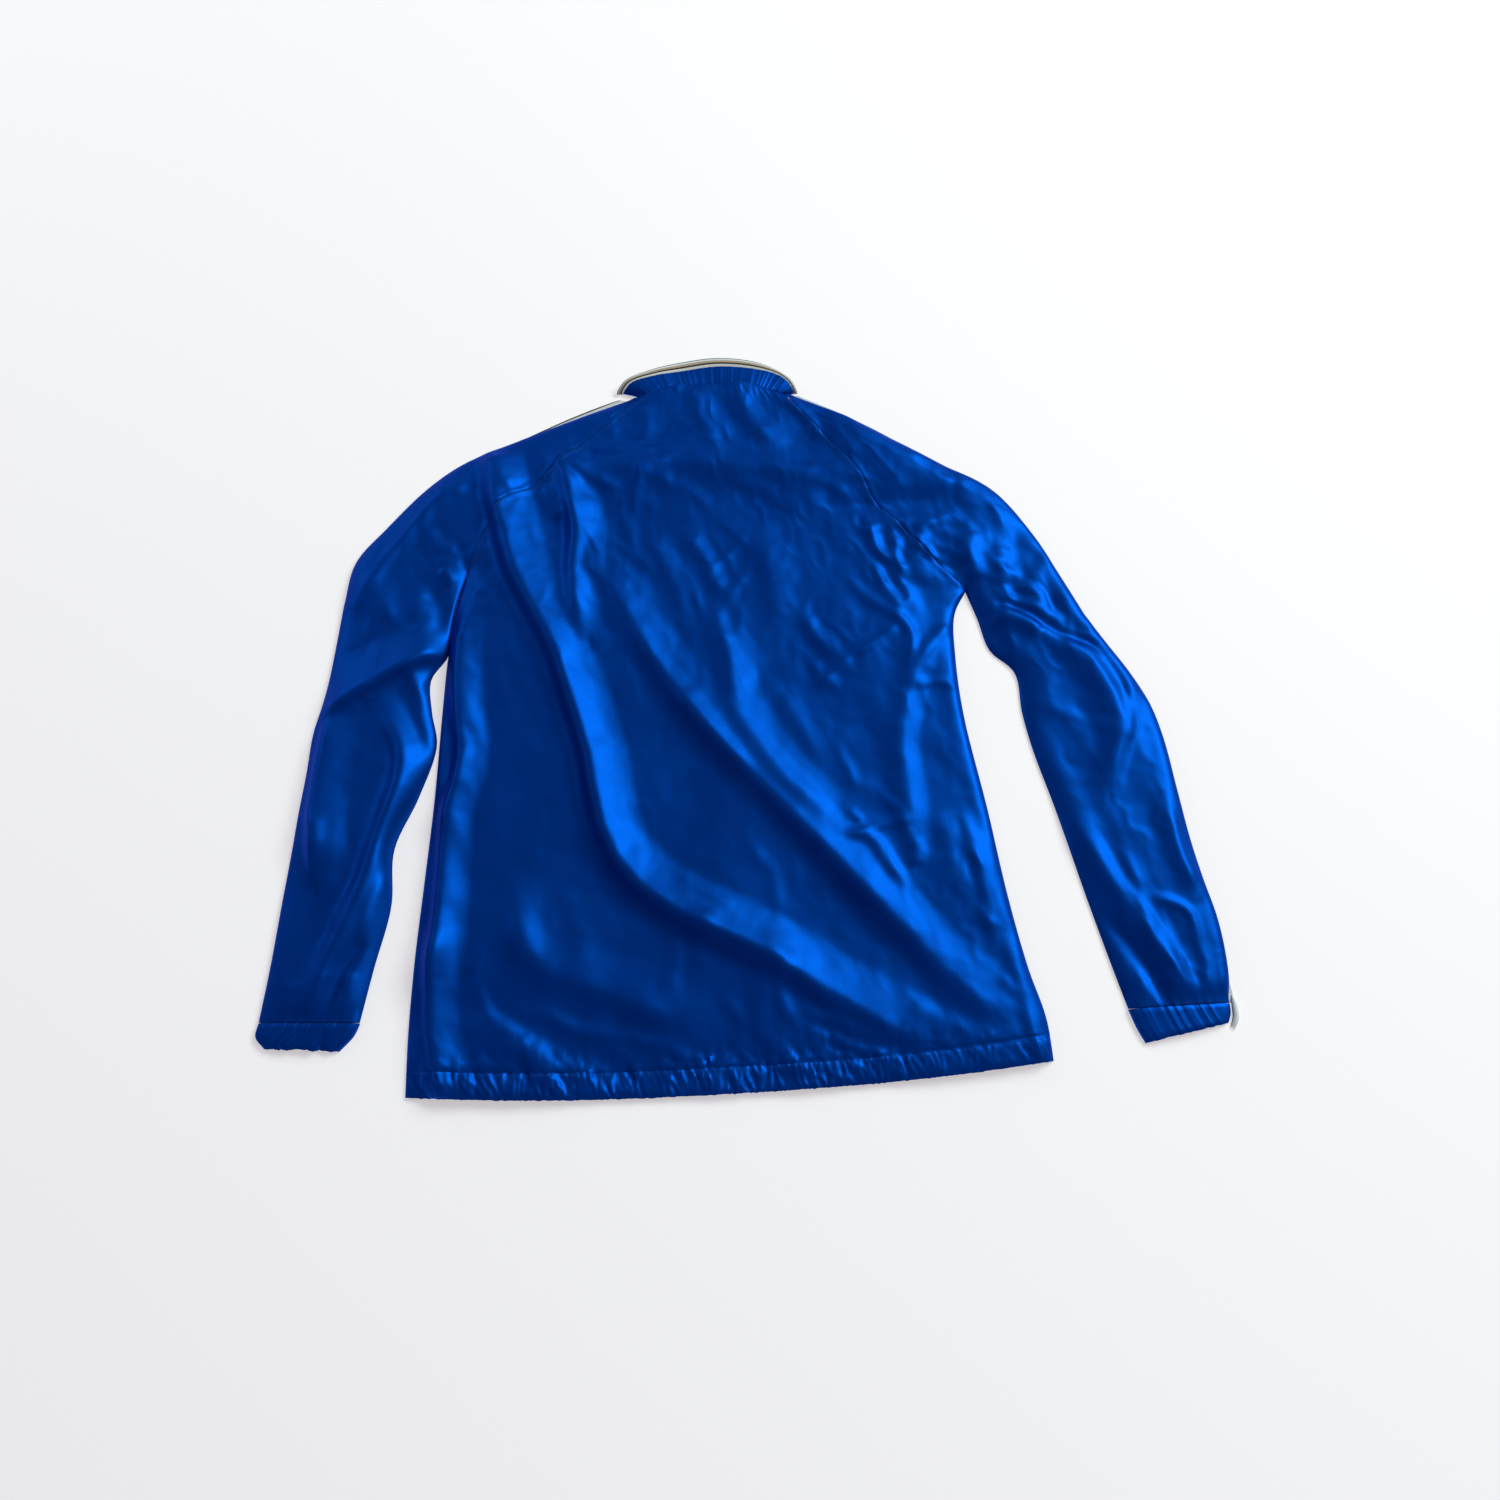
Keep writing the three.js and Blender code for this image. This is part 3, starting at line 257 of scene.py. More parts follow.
CREASES = (
    # Back, the broad swells beside the two longest folds
    (((-245, 220), (-188, 100), (-152, 0), (-121, -105), (-34, -165), (60, -220)), 4.0, 95, 12),
    (((-152, 203), (-95, 100), (-17, 0), (75, -100), (166, -200)), 3.0, 80, 12),
    # Back, below the collar
    (((-272, 330), (-258, 262), (-244, 212), (-224, 168)), 2.6, 32, 9),
    (((-172, 338), (-120, 336), (-75, 335)), 1.6, 9, 5),
    (((-188, 322), (-160, 300), (-130, 288)), 2.4, 11, 5),
    (((-122, 262), (-118, 297), (-75, 330)), 2.2, 12, 6),
    (((-122, 322), (-112, 298)), 1.4, 7, 4),
    (((-212, 288), (-205, 268), (-194, 250)), 2.4, 9, 5),
    (((-12, 430), (-9, 404), (0, 376), (24, 348)), 3.6, 18, 8),
    (((-62, 414), (-50, 380), (-36, 346)), 3.2, 24, 9),
    (((-118, 398), (-108, 372), (-116, 346)), 3.4, 20, 8),
    (((36, 400), (60, 376), (72, 352)), 3.0, 10, 5),
    (((84, 372), (96, 350), (112, 322)), 2.6, 12, 6),
    (((86, 390), (110, 368), (150, 340), (190, 318)), 4.0, 12, 8),
    (((-236, 352), (-190, 374), (-136, 396)), 3.0, 14, 10),
    (((40, 245), (105, 266), (180, 272), (240, 285)), -3.2, 16, 11),
    (((112, 232), (150, 246), (190, 250)), 1.8, 11, 6),
    (((-30, 300), (10, 286), (44, 262)), 1.4, 12, 6),
    (((-100, 300), (-60, 284), (-40, 262)), 1.5, 13, 6),
    (((62, 300), (100, 280), (118, 250)), 1.3, 10, 6),
    # Back, between the shoulder blades
    (((-102, 232), (-84, 196), (-64, 150)), 3.0, 18, 8),
    (((-66, 236), (-44, 206), (-30, 168)), 2.2, 12, 6),
    (((-34, 150), (-30, 132), (-24, 108)), 1.6, 10, 6),
    (((16, 232), (22, 184), (36, 128)), 2.4, 30, 12),
    (((56, 144), (66, 122), (80, 100)), 2.6, 14, 6),
    (((62, 92), (70, 76), (86, 62)), 1.6, 10, 5),
    (((-6, 236), (-22, 214), (-44, 190)), 1.3, 7, 4),
    (((4, 200), (-10, 182), (-20, 160)), 1.2, 9, 5),
    (((-126, 250), (-118, 216), (-100, 190)), 1.6, 11, 6),
    (((-64, 60), (-40, 24), (-6, -22)), 1.4, 12, 8),
    (((30, 60), (50, 26), (66, -4)), 1.3, 12, 7),
    # Back, the broken creases on the right
    (((122, 246), (128, 214), (144, 200)), 3.0, 11, 5),
    (((148, 232), (146, 206), (152, 188)), 2.2, 8, 4),
    (((122, 200), (132, 176), (150, 150)), 2.6, 8, 4),
    (((100, 180), (118, 160), (140, 146)), 1.5, 8, 4),
    (((138, 147), (154, 134), (160, 120), (155, 94)), 2.8, 8, 4),
    (((99, 99), (122, 112), (146, 132)), 2.0, 7, 4),
    (((64, 64), (84, 84), (99, 99)), 1.8, 8, 4),
    (((166, 92), (180, 112), (197, 132)), 2.0, 8, 5),
    (((160, 68), (180, 71), (200, 66)), 1.8, 7, 4),
    (((150, -84), (153, -96), (152, -112)), 2.4, 10, 6),
    (((94, -84), (120, -72), (147, -66)), 1.6, 6, 4),
    (((86, -79), (110, -84), (124, -104), (141, -127)), 2.6, 9, 5),
    (((92, -60), (104, -70)), 1.3, 6, 4),
    (((120, -40), (138, -60), (146, -84)), 1.4, 7, 4),
    (((176, -60), (184, -100), (196, -140)), 1.4, 11, 8),
    # Back, along both sides
    (((-287, 150), (-287, 90), (-281, 50), (-274, 0), (-280, -60)), 10.5, 24, 6),
    (((-284, -36), (-283, -110), (-280, -160), (-284, -215)), 12.0, 26, 6),
    (((-288, -170), (-284, -225), (-276, -262), (-258, -312)), 10.5, 24, 6),
    (((-296, -256), (-282, -284), (-262, -316)), 5.0, 20, 6),
    (((-276, 20), (-266, 2), (-275, -22)), 1.3, 7, 4),
    (((-274, 60), (-262, 30), (-252, 0)), 1.2, 10, 6),
    (((199, -68), (208, -108), (217, -152), (219, -184)), 2.2, 12, 6),
    (((232, -188), (241, -230), (249, -282)), 2.2, 12, 6),
    (((202, -100), (213, -116)), 1.4, 6, 4),
    (((206, -150), (217, -170)), 1.4, 6, 4),
    (((222, -212), (234, -228)), 1.2, 6, 4),
    # Back, lower part
    (((-214, -130), (-206, -170), (-204, -204)), 2.4, 22, 8),
    (((-160, -140), (-142, -190), (-140, -226)), 1.4, 26, 14),
    (((-247, -236), (-202, -252), (-160, -272), (-98, -298)), -2.6, 14, 10),
    (((-240, -240), (-210, -258), (-186, -282), (-170, -312)), 3.2, 26, 9),
    (((-247, -212), (-236, -190)), 1.6, 7, 5),
    (((-240, -224), (-226, -246), (-196, -262)), 1.8, 8, 5),
    (((-180, -240), (-150, -256), (-118, -262)), 1.6, 9, 5),
    (((-190, -264), (-213, -288)), 1.6, 7, 5),
    (((-42, -150), (-40, -178), (-46, -205)), 2.0, 14, 8),
    (((-70, -160), (-66, -196), (-72, -222)), 1.4, 12, 7),
    (((20, -170), (22, -196), (14, -226), (2, -262)), 2.6, 20, 9),
    (((30, -200), (26, -226), (36, -252)), 2.0, 11, 5),
    (((46, -240), (84, -254), (118, -264)), 1.8, 9, 5),
    (((52, -258), (86, -270), (124, -278)), 1.6, 7, 4),
    (((60, -228), (80, -246), (92, -262)), 1.3, 8, 5),
    (((-110, -262), (-74, -272), (-48, -284)), 1.6, 8, 5),
    (((-122, -246), (-150, -268), (-166, -284)), 1.4, 8, 5),
    (((-20, -232), (-8, -252), (-12, -274)), 1.6, 9, 5),
    (((0, -96), (20, -120), (24, -150)), 1.0, 9, 6),
    (((-64, -122), (-40, -136), (-14, -150)), 1.2, 8, 5),
    (((140, -232), (172, -252), (206, -262)), 1.6, 10, 7),
    # Left sleeve
    (((-268, 330), (-256, 302), (-246, 282)), 3.6, 24, 9),
    (((-308, 316), (-302, 298), (-298, 278)), 2.8, 16, 7),
    (((-345, 262), (-368, 220), (-391, 168)), -3.6, 9, 8),
    (((-388, 190), (-370, 158), (-330, 132)), 2.4, 30, 12),
    (((-372, 190), (-366, 160), (-352, 134)), 1.6, 16, 8),
    (((-313, 196), (-306, 188), (-300, 178)), 3.0, 11, 5),
    (((-318, 206), (-300, 200), (-288, 190)), 1.8, 7, 4),
    (((-301, 226), (-288, 207), (-282, 186), (-281, 152)), -2.4, 7, 5),
    (((-318, 172), (-308, 150), (-303, 120)), -2.8, 10, 8),
    (((-330, 240), (-322, 222), (-300, 214)), 1.8, 12, 7),
    (((-320, 66), (-309, 72), (-299, 88)), 2.0, 8, 4),
    (((-326, 86), (-322, 66), (-312, 56)), 1.8, 7, 4),
    (((-318, 48), (-310, 26), (-302, 6)), 1.8, 7, 4),
    (((-340, 66), (-322, 40), (-306, 12)), -3.0, 12, 9),
    (((-412, -62), (-398, -76)), 1.3, 6, 4),
    (((-396, -70), (-392, -96)), 1.2, 7, 5),
    (((-327, -92), (-326, -110), (-332, -130)), 2.0, 9, 5),
    (((-328, -120), (-340, -150), (-342, -190)), 2.6, 13, 6),
    (((-342, -178), (-362, -218), (-374, -254)), -4.4, 8, 7),
    (((-350, -208), (-352, -232), (-362, -252)), 2.2, 9, 5),
    (((-372, -206), (-378, -232), (-388, -252)), 2.0, 9, 6),
    (((-396, -215), (-400, -250)), 1.6, 10, 7),
    # Right sleeve
    (((166, 214), (176, 240), (204, 256)), 2.2, 9, 5),
    (((176, 222), (184, 210), (202, 204)), 1.8, 7, 4),
    (((180, 211), (202, 200), (221, 191)), -3.4, 11, 9),
    (((196, 238), (214, 226), (222, 204)), 1.6, 8, 5),
    (((245, 157), (274, 141), (300, 121), (340, 105)), -2.6, 6, 5),
    (((250, 166), (284, 149), (310, 129)), 2.4, 9, 5),
    (((240, 214), (252, 196), (272, 184)), 2.2, 9, 5),
    (((262, 176), (284, 166), (292, 150)), 2.2, 9, 5),
    (((292, 228), (296, 205), (293, 190)), 0.9, 10, 7),
    (((248, 266), (256, 254), (258, 240)), 1.4, 7, 4),
    (((370, 72), (366, 40), (357, 8)), 2.4, 11, 5),
    (((310, 172), (318, 150), (334, 124)), 2.8, 20, 8),
    (((346, 106), (362, 84), (372, 60)), 1.8, 12, 7),
    (((230, 150), (236, 126), (252, 104)), -2.0, 8, 7),
    (((262, 56), (300, 40), (346, 20)), 1.0, 9, 6),
    (((318, -20), (330, -60), (346, -92)), 1.0, 12, 8),
    (((342, -98), (360, -150), (380, -216)), 2.6, 12, 6),
    (((350, -150), (356, -176), (372, -206)), 1.8, 8, 5),
    (((364, -140), (392, -150), (401, -172)), 2.2, 7, 4),
    (((310, -150), (340, -190), (376, -254)), -3.4, 10, 8),
    (((388, -60), (394, -98), (404, -130)), 2.0, 9, 5),
    (((396, -168), (404, -200), (402, -228)), 1.8, 8, 5),
    (((342, -204), (350, -232), (362, -252)), 1.6, 8, 5),
    (((364, -206), (372, -226), (384, -244)), 1.8, 7, 4),
    (((338, -124), (352, -150), (360, -180)), 1.2, 8, 5),
)

SEED = 7
LATTICE = 64
NOISE_GAIN = 1.5


def fade(away, reach, power=2):
    """1 at no distance and next to nothing past the reach, more abruptly for a higher power."""
    return np.exp(-((away / reach) ** power))


def centripetal_run(points, per_gap):
    """A smooth curve through the given points, with per_gap steps from each to the next."""
    points = np.asarray(points, float)
    ends = np.vstack([2 * points[0] - points[1], points, 2 * points[-1] - points[-2]])
    dense = []
    for k in range(1, len(ends) - 2):
        p0, p1, p2, p3 = ends[k - 1 : k + 3]
        knots = [0.0]
        for a, b in ((p0, p1), (p1, p2), (p2, p3)):
            knots.append(knots[-1] + max(np.linalg.norm(b - a), 1e-6) ** 0.5)
        t0, t1, t2, t3 = knots
        t = np.linspace(t1, t2, per_gap, endpoint=False)[:, None]
        a1 = (t1 - t) / (t1 - t0) * p0 + (t - t0) / (t1 - t0) * p1
        a2 = (t2 - t) / (t2 - t1) * p1 + (t - t1) / (t2 - t1) * p2
        a3 = (t3 - t) / (t3 - t2) * p2 + (t - t2) / (t3 - t2) * p3
        b1 = (t2 - t) / (t2 - t0) * a1 + (t - t0) / (t2 - t0) * a2
        b2 = (t3 - t) / (t3 - t1) * a2 + (t - t1) / (t3 - t1) * a3
        dense.append((t2 - t) / (t2 - t1) * b1 + (t - t1) / (t2 - t1) * b2)
    return np.vstack([*dense, points[-1:]])


def centripetal(points, steps):
    """Points at even steps along a smooth curve through the given ones."""
    dense = centripetal_run(points, 40)
    run = np.concatenate([[0], np.cumsum(np.linalg.norm(np.diff(dense, axis=0), axis=1))])
    wanted = np.linspace(0, run[-1], steps + 1)
    return np.stack([np.interp(wanted, run, dense[:, k]) for k in range(dense.shape[1])], axis=1)


def nearest(line, xy):
    """Distance to a line from each place, the side it lies on (+1 right) and how far along it is."""
    best = np.full(len(xy), np.inf)
    side = np.ones(len(xy))
    along = np.zeros(len(xy))
    count = len(line) - 1
    for k in range(count):
        a, b = line[k], line[k + 1]
        d = b - a
        rel = xy - a
        t = np.clip(rel @ d / (d @ d), 0, 1)
        away = np.hypot(rel[:, 0] - t * d[0], rel[:, 1] - t * d[1])
        closer = away < best
        best = np.where(closer, away, best)
        side = np.where(closer, np.where(d[1] * rel[:, 0] - d[0] * rel[:, 1] >= 0, 1.0, -1.0), side)
        along = np.where(closer, (k + t) / count, along)
    return best, side, along


def smooth(x, low, high):
    """0 up to low, 1 from high on, and an even change between them."""
    t = np.clip((x - low) / (high - low), 0, 1)
    return t * t * (3 - 2 * t)


class Noise:
    """Smooth noise over the plan, from a lattice of seeded slopes."""

    def __init__(self, seed, cell):
        angles = np.random.default_rng(seed).uniform(0, 2 * math.pi, (LATTICE, LATTICE))
        self.slopes = np.stack([np.cos(angles), np.sin(angles)], axis=-1)
        self.cell = cell

    def __call__(self, xy):
        p = np.asarray(xy, float) / self.cell
        i = np.floor(p).astype(int)
        f = p - i
        w = f * f * f * (f * (f * 6 - 15) + 10)
        total = np.zeros(len(p))
        for dx in (0, 1):
            for dy in (0, 1):
                g = self.slopes[(i[:, 0] + dx) % LATTICE, (i[:, 1] + dy) % LATTICE]
                dot = g[:, 0] * (f[:, 0] - dx) + g[:, 1] * (f[:, 1] - dy)
                wx = w[:, 0] if dx else 1 - w[:, 0]
                wy = w[:, 1] if dy else 1 - w[:, 1]
                total += wx * wy * dot
        return total * NOISE_GAIN


# Folded edges: each one's line, the seat of the cloth beside it, and how tightly it is rolled
BODY_EDGE = {
    "left": centripetal([row[0] for row in BODY_ROWS], 40),
    "right": centripetal([row[1] for row in BODY_ROWS], 40),
}
EDGES = [(BODY_EDGE["left"], BACK_SEAT, 1.3), (BODY_EDGE["right"], BACK_SEAT, 3.3)]
for hand, inner_tight, outer_tight in (("left", 2.2, 1.2), ("right", 1.2, 3.3)):
    EDGES.append((centripetal([row[0] for row in SLEEVE[hand]], 40), BACK_SEAT, inner_tight))
    EDGES.append((centripetal([row[1] for row in SLEEVE[hand]], 40), SHOULDER_SEAT, outer_tight))
    EDGES.append((centripetal(SHOULDER[hand], 40), SHOULDER_SEAT, outer_tight))
RIDGES = [(centripetal(path, 24), *rest) for path, *rest in FOLDS]
RIDGES += [(centripetal(path, 12), *rest) for path, *rest in CREASES]
RAGLAN_LINE = {hand: centripetal(RAGLAN[hand], 40) for hand in RAGLAN}

# Distances from a folded edge at which a sheet has its first points
CLOSE = (0.0, 0.7, 1.5, 2.6, 4.2, 6.4)

sway = (Noise(SEED, 90.0), Noise(SEED + 1, 90.0))
large_noise = Noise(SEED + 2, 46.0)
small_noise = Noise(SEED + 3, 23.0)
patch_noise = Noise(SEED + 4, 120.0)
fine_noise = Noise(SEED + 5, 8.0)
broad_noise = Noise(SEED + 8, 58.0)


def folds_at(xy):
    """How far the folds and creases lift the cloth over each place."""
    swayed = xy + SWAY * np.stack([noise(xy) for noise in sway], axis=1)
    lift = np.zeros(len(xy))
    for line, height, lit, steep in RIDGES:
        to_crest = 1 + (PUFF + max(height, 0)) / CAMERA_HEIGHT
        away, side, along = nearest(line, CAMERA_FOOT + (swayed - CAMERA_FOOT) * to_crest)
        rounding = min(CREST_ROUND, 0.3 * steep)
        past = np.hypot(away, rounding) - rounding
        lit_side = np.maximum(0, 1 - past / lit) ** LIT_POWER
        steep_side = fade(past, steep, STEEP_POWER)
        taper = smooth(along, -FOLD_ENDS, FOLD_SINK) * smooth(1 - along, -FOLD_ENDS, FOLD_SINK)
        lift += height * taper * np.where(side < 0, lit_side, steep_side)
    return lift


def edges_at(xy):
    """Distance to the nearest folded edge, longer for a tight one, and the seat there."""
    blend = 6
    closest = np.full(len(xy), np.inf)
    seat = np.zeros(len(xy))
    weights = np.full(len(xy), 1e-9)
    for line, level, tight in EDGES:
        away = nearest(line, xy)[0]
        weight = np.exp(-away / blend)
        closest = np.minimum(closest, tight * away)
        seat += weight * level
        weights += weight
    return closest, seat / weights


def seam_relief(xy):
    """The raglan seams: a lapped ridge with the sewing sunk in it, and small puckers on both sides."""
    lap_height, lap_reach = 0.45, 5.0
    sewing_depth, sewing_reach = 0.42, 1.4
    relief = np.zeros(len(xy))
    for line in RAGLAN_LINE.values():
        away = nearest(line, xy)[0]
        puckers = 0.8 * np.exp(-away / 10) * fine_noise(xy)
        relief += lap_height * fade(away, lap_reach, 4) - sewing_depth * fade(away, sewing_reach) + puckers
    return relief


def crumples(xy):
    """Facets that meet in fine creases, mostly between the shoulders and on the right, on low swells."""
    cosine, sine = 0.89, 0.45
    stretch = 0.45
    across = cosine * xy[:, 0] + sine * xy[:, 1]
    along = stretch * (sine * xy[:, 0] - cosine * xy[:, 1])
    wander = 7 * np.stack([small_noise(xy), small_noise(xy[:, ::-1])], axis=1)
    warped = np.stack([across, along], axis=1) + wander
    patchy = smooth(patch_noise(xy), -0.3, 0.6)
    drawn = 0.4 + 0.7 * smooth(xy[:, 1], 30, 170) + 0.4 * smooth(xy[:, 0], 60, 160)
    large = 0.5 - 2 * np.abs(large_noise(warped))
    small = 0.4 - 2 * np.abs(small_noise(warped + 3 * fine_noise(xy / 2)[:, None]))
    facets = drawn * (1.8 * patchy * large + 0.55 * (1.2 - patchy) * small)
    return facets + 2.6 * broad_noise(warped)


def upper_level(xy):
    """Height of the middle of the upper layer of cloth over each place."""
    collar_from, collar_to = 395, 440
    closest, seat = edges_at(xy)
    puff = PUFF - COLLAR_DIP * smooth(xy[:, 1], collar_from, collar_to)
    swell = puff + folds_at(xy) + crumples(xy) + seam_relief(xy)
    tucked = EDGE_ROLL * fade(closest, 1.4, 1.5)
    return seat + WALL / 2 - tucked + (1 - np.exp(-closest / ROUND_OFF)) * swell


def crown(u):
    """A flat arch over the way from 0 to 1, 0 at both ends."""
    return 1 - np.abs(2 * u - 1) ** 2.4


def stops(span, columns, close):
    """Places along a row of that length, close together at both ends and then even."""
    near = np.array(close) * min(1.0, span / (5 * close[-1]))
    even = np.linspace(near[-1], span - near[-1], columns)
    return np.concatenate([near[:-1], even, (span - near[:-1])[::-1]])


def sheet_between(left, right, columns, bow=None, pull=GAP):
    """Plan of a sheet as rows of places, from one edge line to the other."""
    rows = []
    for k, (a, b) in enumerate(zip(left, right)):
        span = np.linalg.norm(b - a)
        u = pull / span + stops(span - 2 * pull, columns, CLOSE) / span
        row = a + (b - a) * u[:, None]
        if bow is not None:
            row[:, 1] += bow[k] * crown(u)
        rows.append(row)
    return np.array(rows)


def new_piece(name, points, faces):
    """A mesh object of points in millimetres in the plan and the faces between them."""
    flat = np.array(points, float)
    flat[:, :2] -= MIDDLE
    mesh = bpy.data.meshes.new(name)
    mesh.from_pydata((flat * MM).tolist(), [], faces)
    piece = bpy.data.objects.new(name, mesh)
    bpy.context.collection.objects.link(piece)
    return piece


def ringed_faces(first, rings, sides):
    """Faces of a closed bar made of rings of points, counted from the first one."""
    faces = []
    for ring in range(rings - 1):
        low = first + ring * sides
        for k in range(sides):
            n = (k + 1) % sides
            faces.append((low + k, low + n, low + sides + n, low + sides + k))
    faces.append(tuple(first + k for k in reversed(range(sides))))
    faces.append(tuple(first + (rings - 1) * sides + k for k in range(sides)))
    return faces


def surface(name, points, closed=False, share=None):
    """Mesh of quads over a grid of points in millimetres, with a UV map in metres along its rows.

    Where share is "u" or "v", that side of the map runs from 0 to 1 instead."""
    rows, columns = points.shape[:2]
    faces = []
    last = columns if closed else columns - 1
    for i in range(rows - 1):
        for j in range(last):
            n = (j + 1) % columns
            faces.append((i * columns + j, i * columns + n, (i + 1) * columns + n, (i + 1) * columns + j))
    piece = new_piece(name, points.reshape(-1, 3), faces)
    mesh = piece.data
    past_end = points[:, :1] if closed else points[:, -1:]
    across = np.linalg.norm(np.diff(points, axis=1, append=past_end), axis=2)
    down = np.linalg.norm(np.diff(points, axis=0), axis=2)
    u = np.hstack([np.zeros((rows, 1)), np.cumsum(across, axis=1)]) * MM
    v = np.vstack([np.zeros((1, columns)), np.cumsum(down, axis=0)]) * MM
    if share == "u":
        u = np.broadcast_to(np.linspace(0, 1, u.shape[1]), u.shape)
    if share == "v":
        v = np.broadcast_to(np.linspace(0, 1, rows)[:, None], v.shape)
    layer = mesh.uv_layers.new(name="cloth")
    corner = 0
    uv = np.zeros((len(mesh.loops), 2))
    for i in range(rows - 1):
        for j in range(last):
            n = (j + 1) % columns
            uv[corner] = (u[i, j], v[i, j])
            uv[corner + 1] = (u[i, j + 1], v[i, n])
            uv[corner + 2] = (u[i + 1, j + 1], v[i + 1, n])
            uv[corner + 3] = (u[i + 1, j], v[i + 1, j])
            corner += 4
    layer.data.foreach_set("uv", uv.ravel())
    return piece


def choose(piece):
    """Selects that piece alone and makes it the active one."""
    bpy.ops.object.select_all(action="DESELECT")
    piece.select_set(True)
    bpy.context.view_layer.objects.active = piece


def face_outwards(piece):
    """Turns all faces of a closed piece outwards."""
    choose(piece)
    bpy.ops.object.mode_set(mode="EDIT")
    bpy.ops.mesh.select_all(action="SELECT")
    bpy.ops.mesh.normals_make_consistent(inside=False)
    bpy.ops.object.mode_set(mode="OBJECT")


def give_thickness(piece, thickness=FABRIC):
    """Makes a surface a wall, half of it on either side."""
    choose(piece)
    wall = piece.modifiers.new("wall", "SOLIDIFY")
    wall.thickness = thickness * MM
    wall.offset = 0
    wall.use_even_offset = True
    bpy.ops.object.modifier_apply(modifier=wall.name)
    bpy.ops.object.shade_smooth_by_angle(angle=math.radians(60))
    piece.select_set(False)


def dress(piece, material, stands_for=()):
    """Gives a piece its finish, makes it part of the jacket and hides the solids that it stands for."""
    piece.data.materials.clear()
    piece.data.materials.append(material)
    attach(piece, "jacket")
    if stands_for:
        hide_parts(*stands_for)


# Materials
def new_material(name):
    """A material with its node tree and its shader."""
    material = bpy.data.materials.new(name)
    material.use_nodes = True
    tree = material.node_tree
    return material, tree, tree.nodes["Principled BSDF"]


def node(tree, kind, **settings):
    """A node of that kind, with its settings and the values of its inputs by their names."""
    made = tree.nodes.new(kind)
    for key, value in settings.items():
        if hasattr(made, key) and key not in made.inputs:
            setattr(made, key, value)
        else:
            made.inputs[key].default_value = value
    return made


def satin():
    """Satin-woven nylon: fine floats along one way, faint slubs and a soft broad sheen."""
    material, tree, shader = new_material("royal blue satin nylon")
    link = tree.links.new
    uv = node(tree, "ShaderNodeUVMap", uv_map="cloth")
    place = node(tree, "ShaderNodeTexCoord")
    floats = node(tree, "ShaderNodeMapping")
    floats.inputs["Scale"].default_value = (260.0, 1900.0, 1.0)
    link(uv.outputs["UV"], floats.inputs["Vector"])
    weave = node(tree, "ShaderNodeTexNoise", Scale=1.0, Detail=2.0, Roughness=0.6)
    link(floats.outputs["Vector"], weave.inputs["Vector"])
    wear = node(tree, "ShaderNodeTexNoise", Scale=9.0, Detail=5.0, Roughness=0.6)
    link(place.outputs["Object"], wear.inputs["Vector"])
    crinkle = node(tree, "ShaderNodeTexNoise", Scale=70.0, Detail=3.0, Roughness=0.5)
    link(place.outputs["Object"], crinkle.inputs["Vector"])
    shades = node(tree, "ShaderNodeValToRGB")
    shades.color_ramp.elements[0].position = 0.3
    shades.color_ramp.elements[0].color = (0.0003, 0.052, 0.34, 1)
    shades.color_ramp.elements[1].position = 0.75
    shades.color_ramp.elements[1].color = (0.0004, 0.063, 0.40, 1)
    link(wear.outputs["Fac"], shades.inputs["Fac"])
    link(shades.outputs["Color"], shader.inputs["Base Color"])
    rough = node(tree, "ShaderNodeMapRange")
    rough.inputs["From Min"].default_value = 0.3
    rough.inputs["From Max"].default_value = 0.7
    rough.inputs["To Min"].default_value = 0.42
    rough.inputs["To Max"].default_value = 0.49
    link(wear.outputs["Fac"], rough.inputs["Value"])
    link(rough.outputs["Result"], shader.inputs["Roughness"])
    fine = node(tree, "ShaderNodeBump", Strength=0.1, Distance=0.0003)
    link(weave.outputs["Fac"], fine.inputs["Height"])
    soft = node(tree, "ShaderNodeBump", Strength=0.18, Distance=0.0010)
    link(crinkle.outputs["Fac"], soft.inputs["Height"])
    link(fine.outputs["Normal"], soft.inputs["Normal"])
    link(soft.outputs["Normal"], shader.inputs["Normal"])
    shader.inputs["Metallic"].default_value = 0.76
    shader.inputs["Specular IOR Level"].default_value = 0.08
    shader.inputs["Specular Tint"].default_value = (0.0, 0.42, 1.0, 1)
    return material


def plain(name, colour, roughness, metallic=0.0, grain=900.0, bump=0.2):
    """A finish with a fine grain of its own."""
    material, tree, shader = new_material(name)
    link = tree.links.new
    place = node(tree, "ShaderNodeTexCoord")
    speck = node(tree, "ShaderNodeTexNoise", Scale=grain, Detail=3.0)
    link(place.outputs["Object"], speck.inputs["Vector"])
    shades = node(tree, "ShaderNodeValToRGB")
    darker = 0.86
    shades.color_ramp.elements[0].color = (*(darker * c for c in colour), 1)
    shades.color_ramp.elements[1].color = (*colour, 1)
    link(speck.outputs["Fac"], shades.inputs["Fac"])
    link(shades.outputs["Color"], shader.inputs["Base Color"])
    relief = node(tree, "ShaderNodeBump", Strength=bump, Distance=0.0002)
    link(speck.outputs["Fac"], relief.inputs["Height"])
    link(relief.outputs["Normal"], shader.inputs["Normal"])
    shader.inputs["Roughness"].default_value = roughness
    shader.inputs["Metallic"].default_value = metallic
    return material


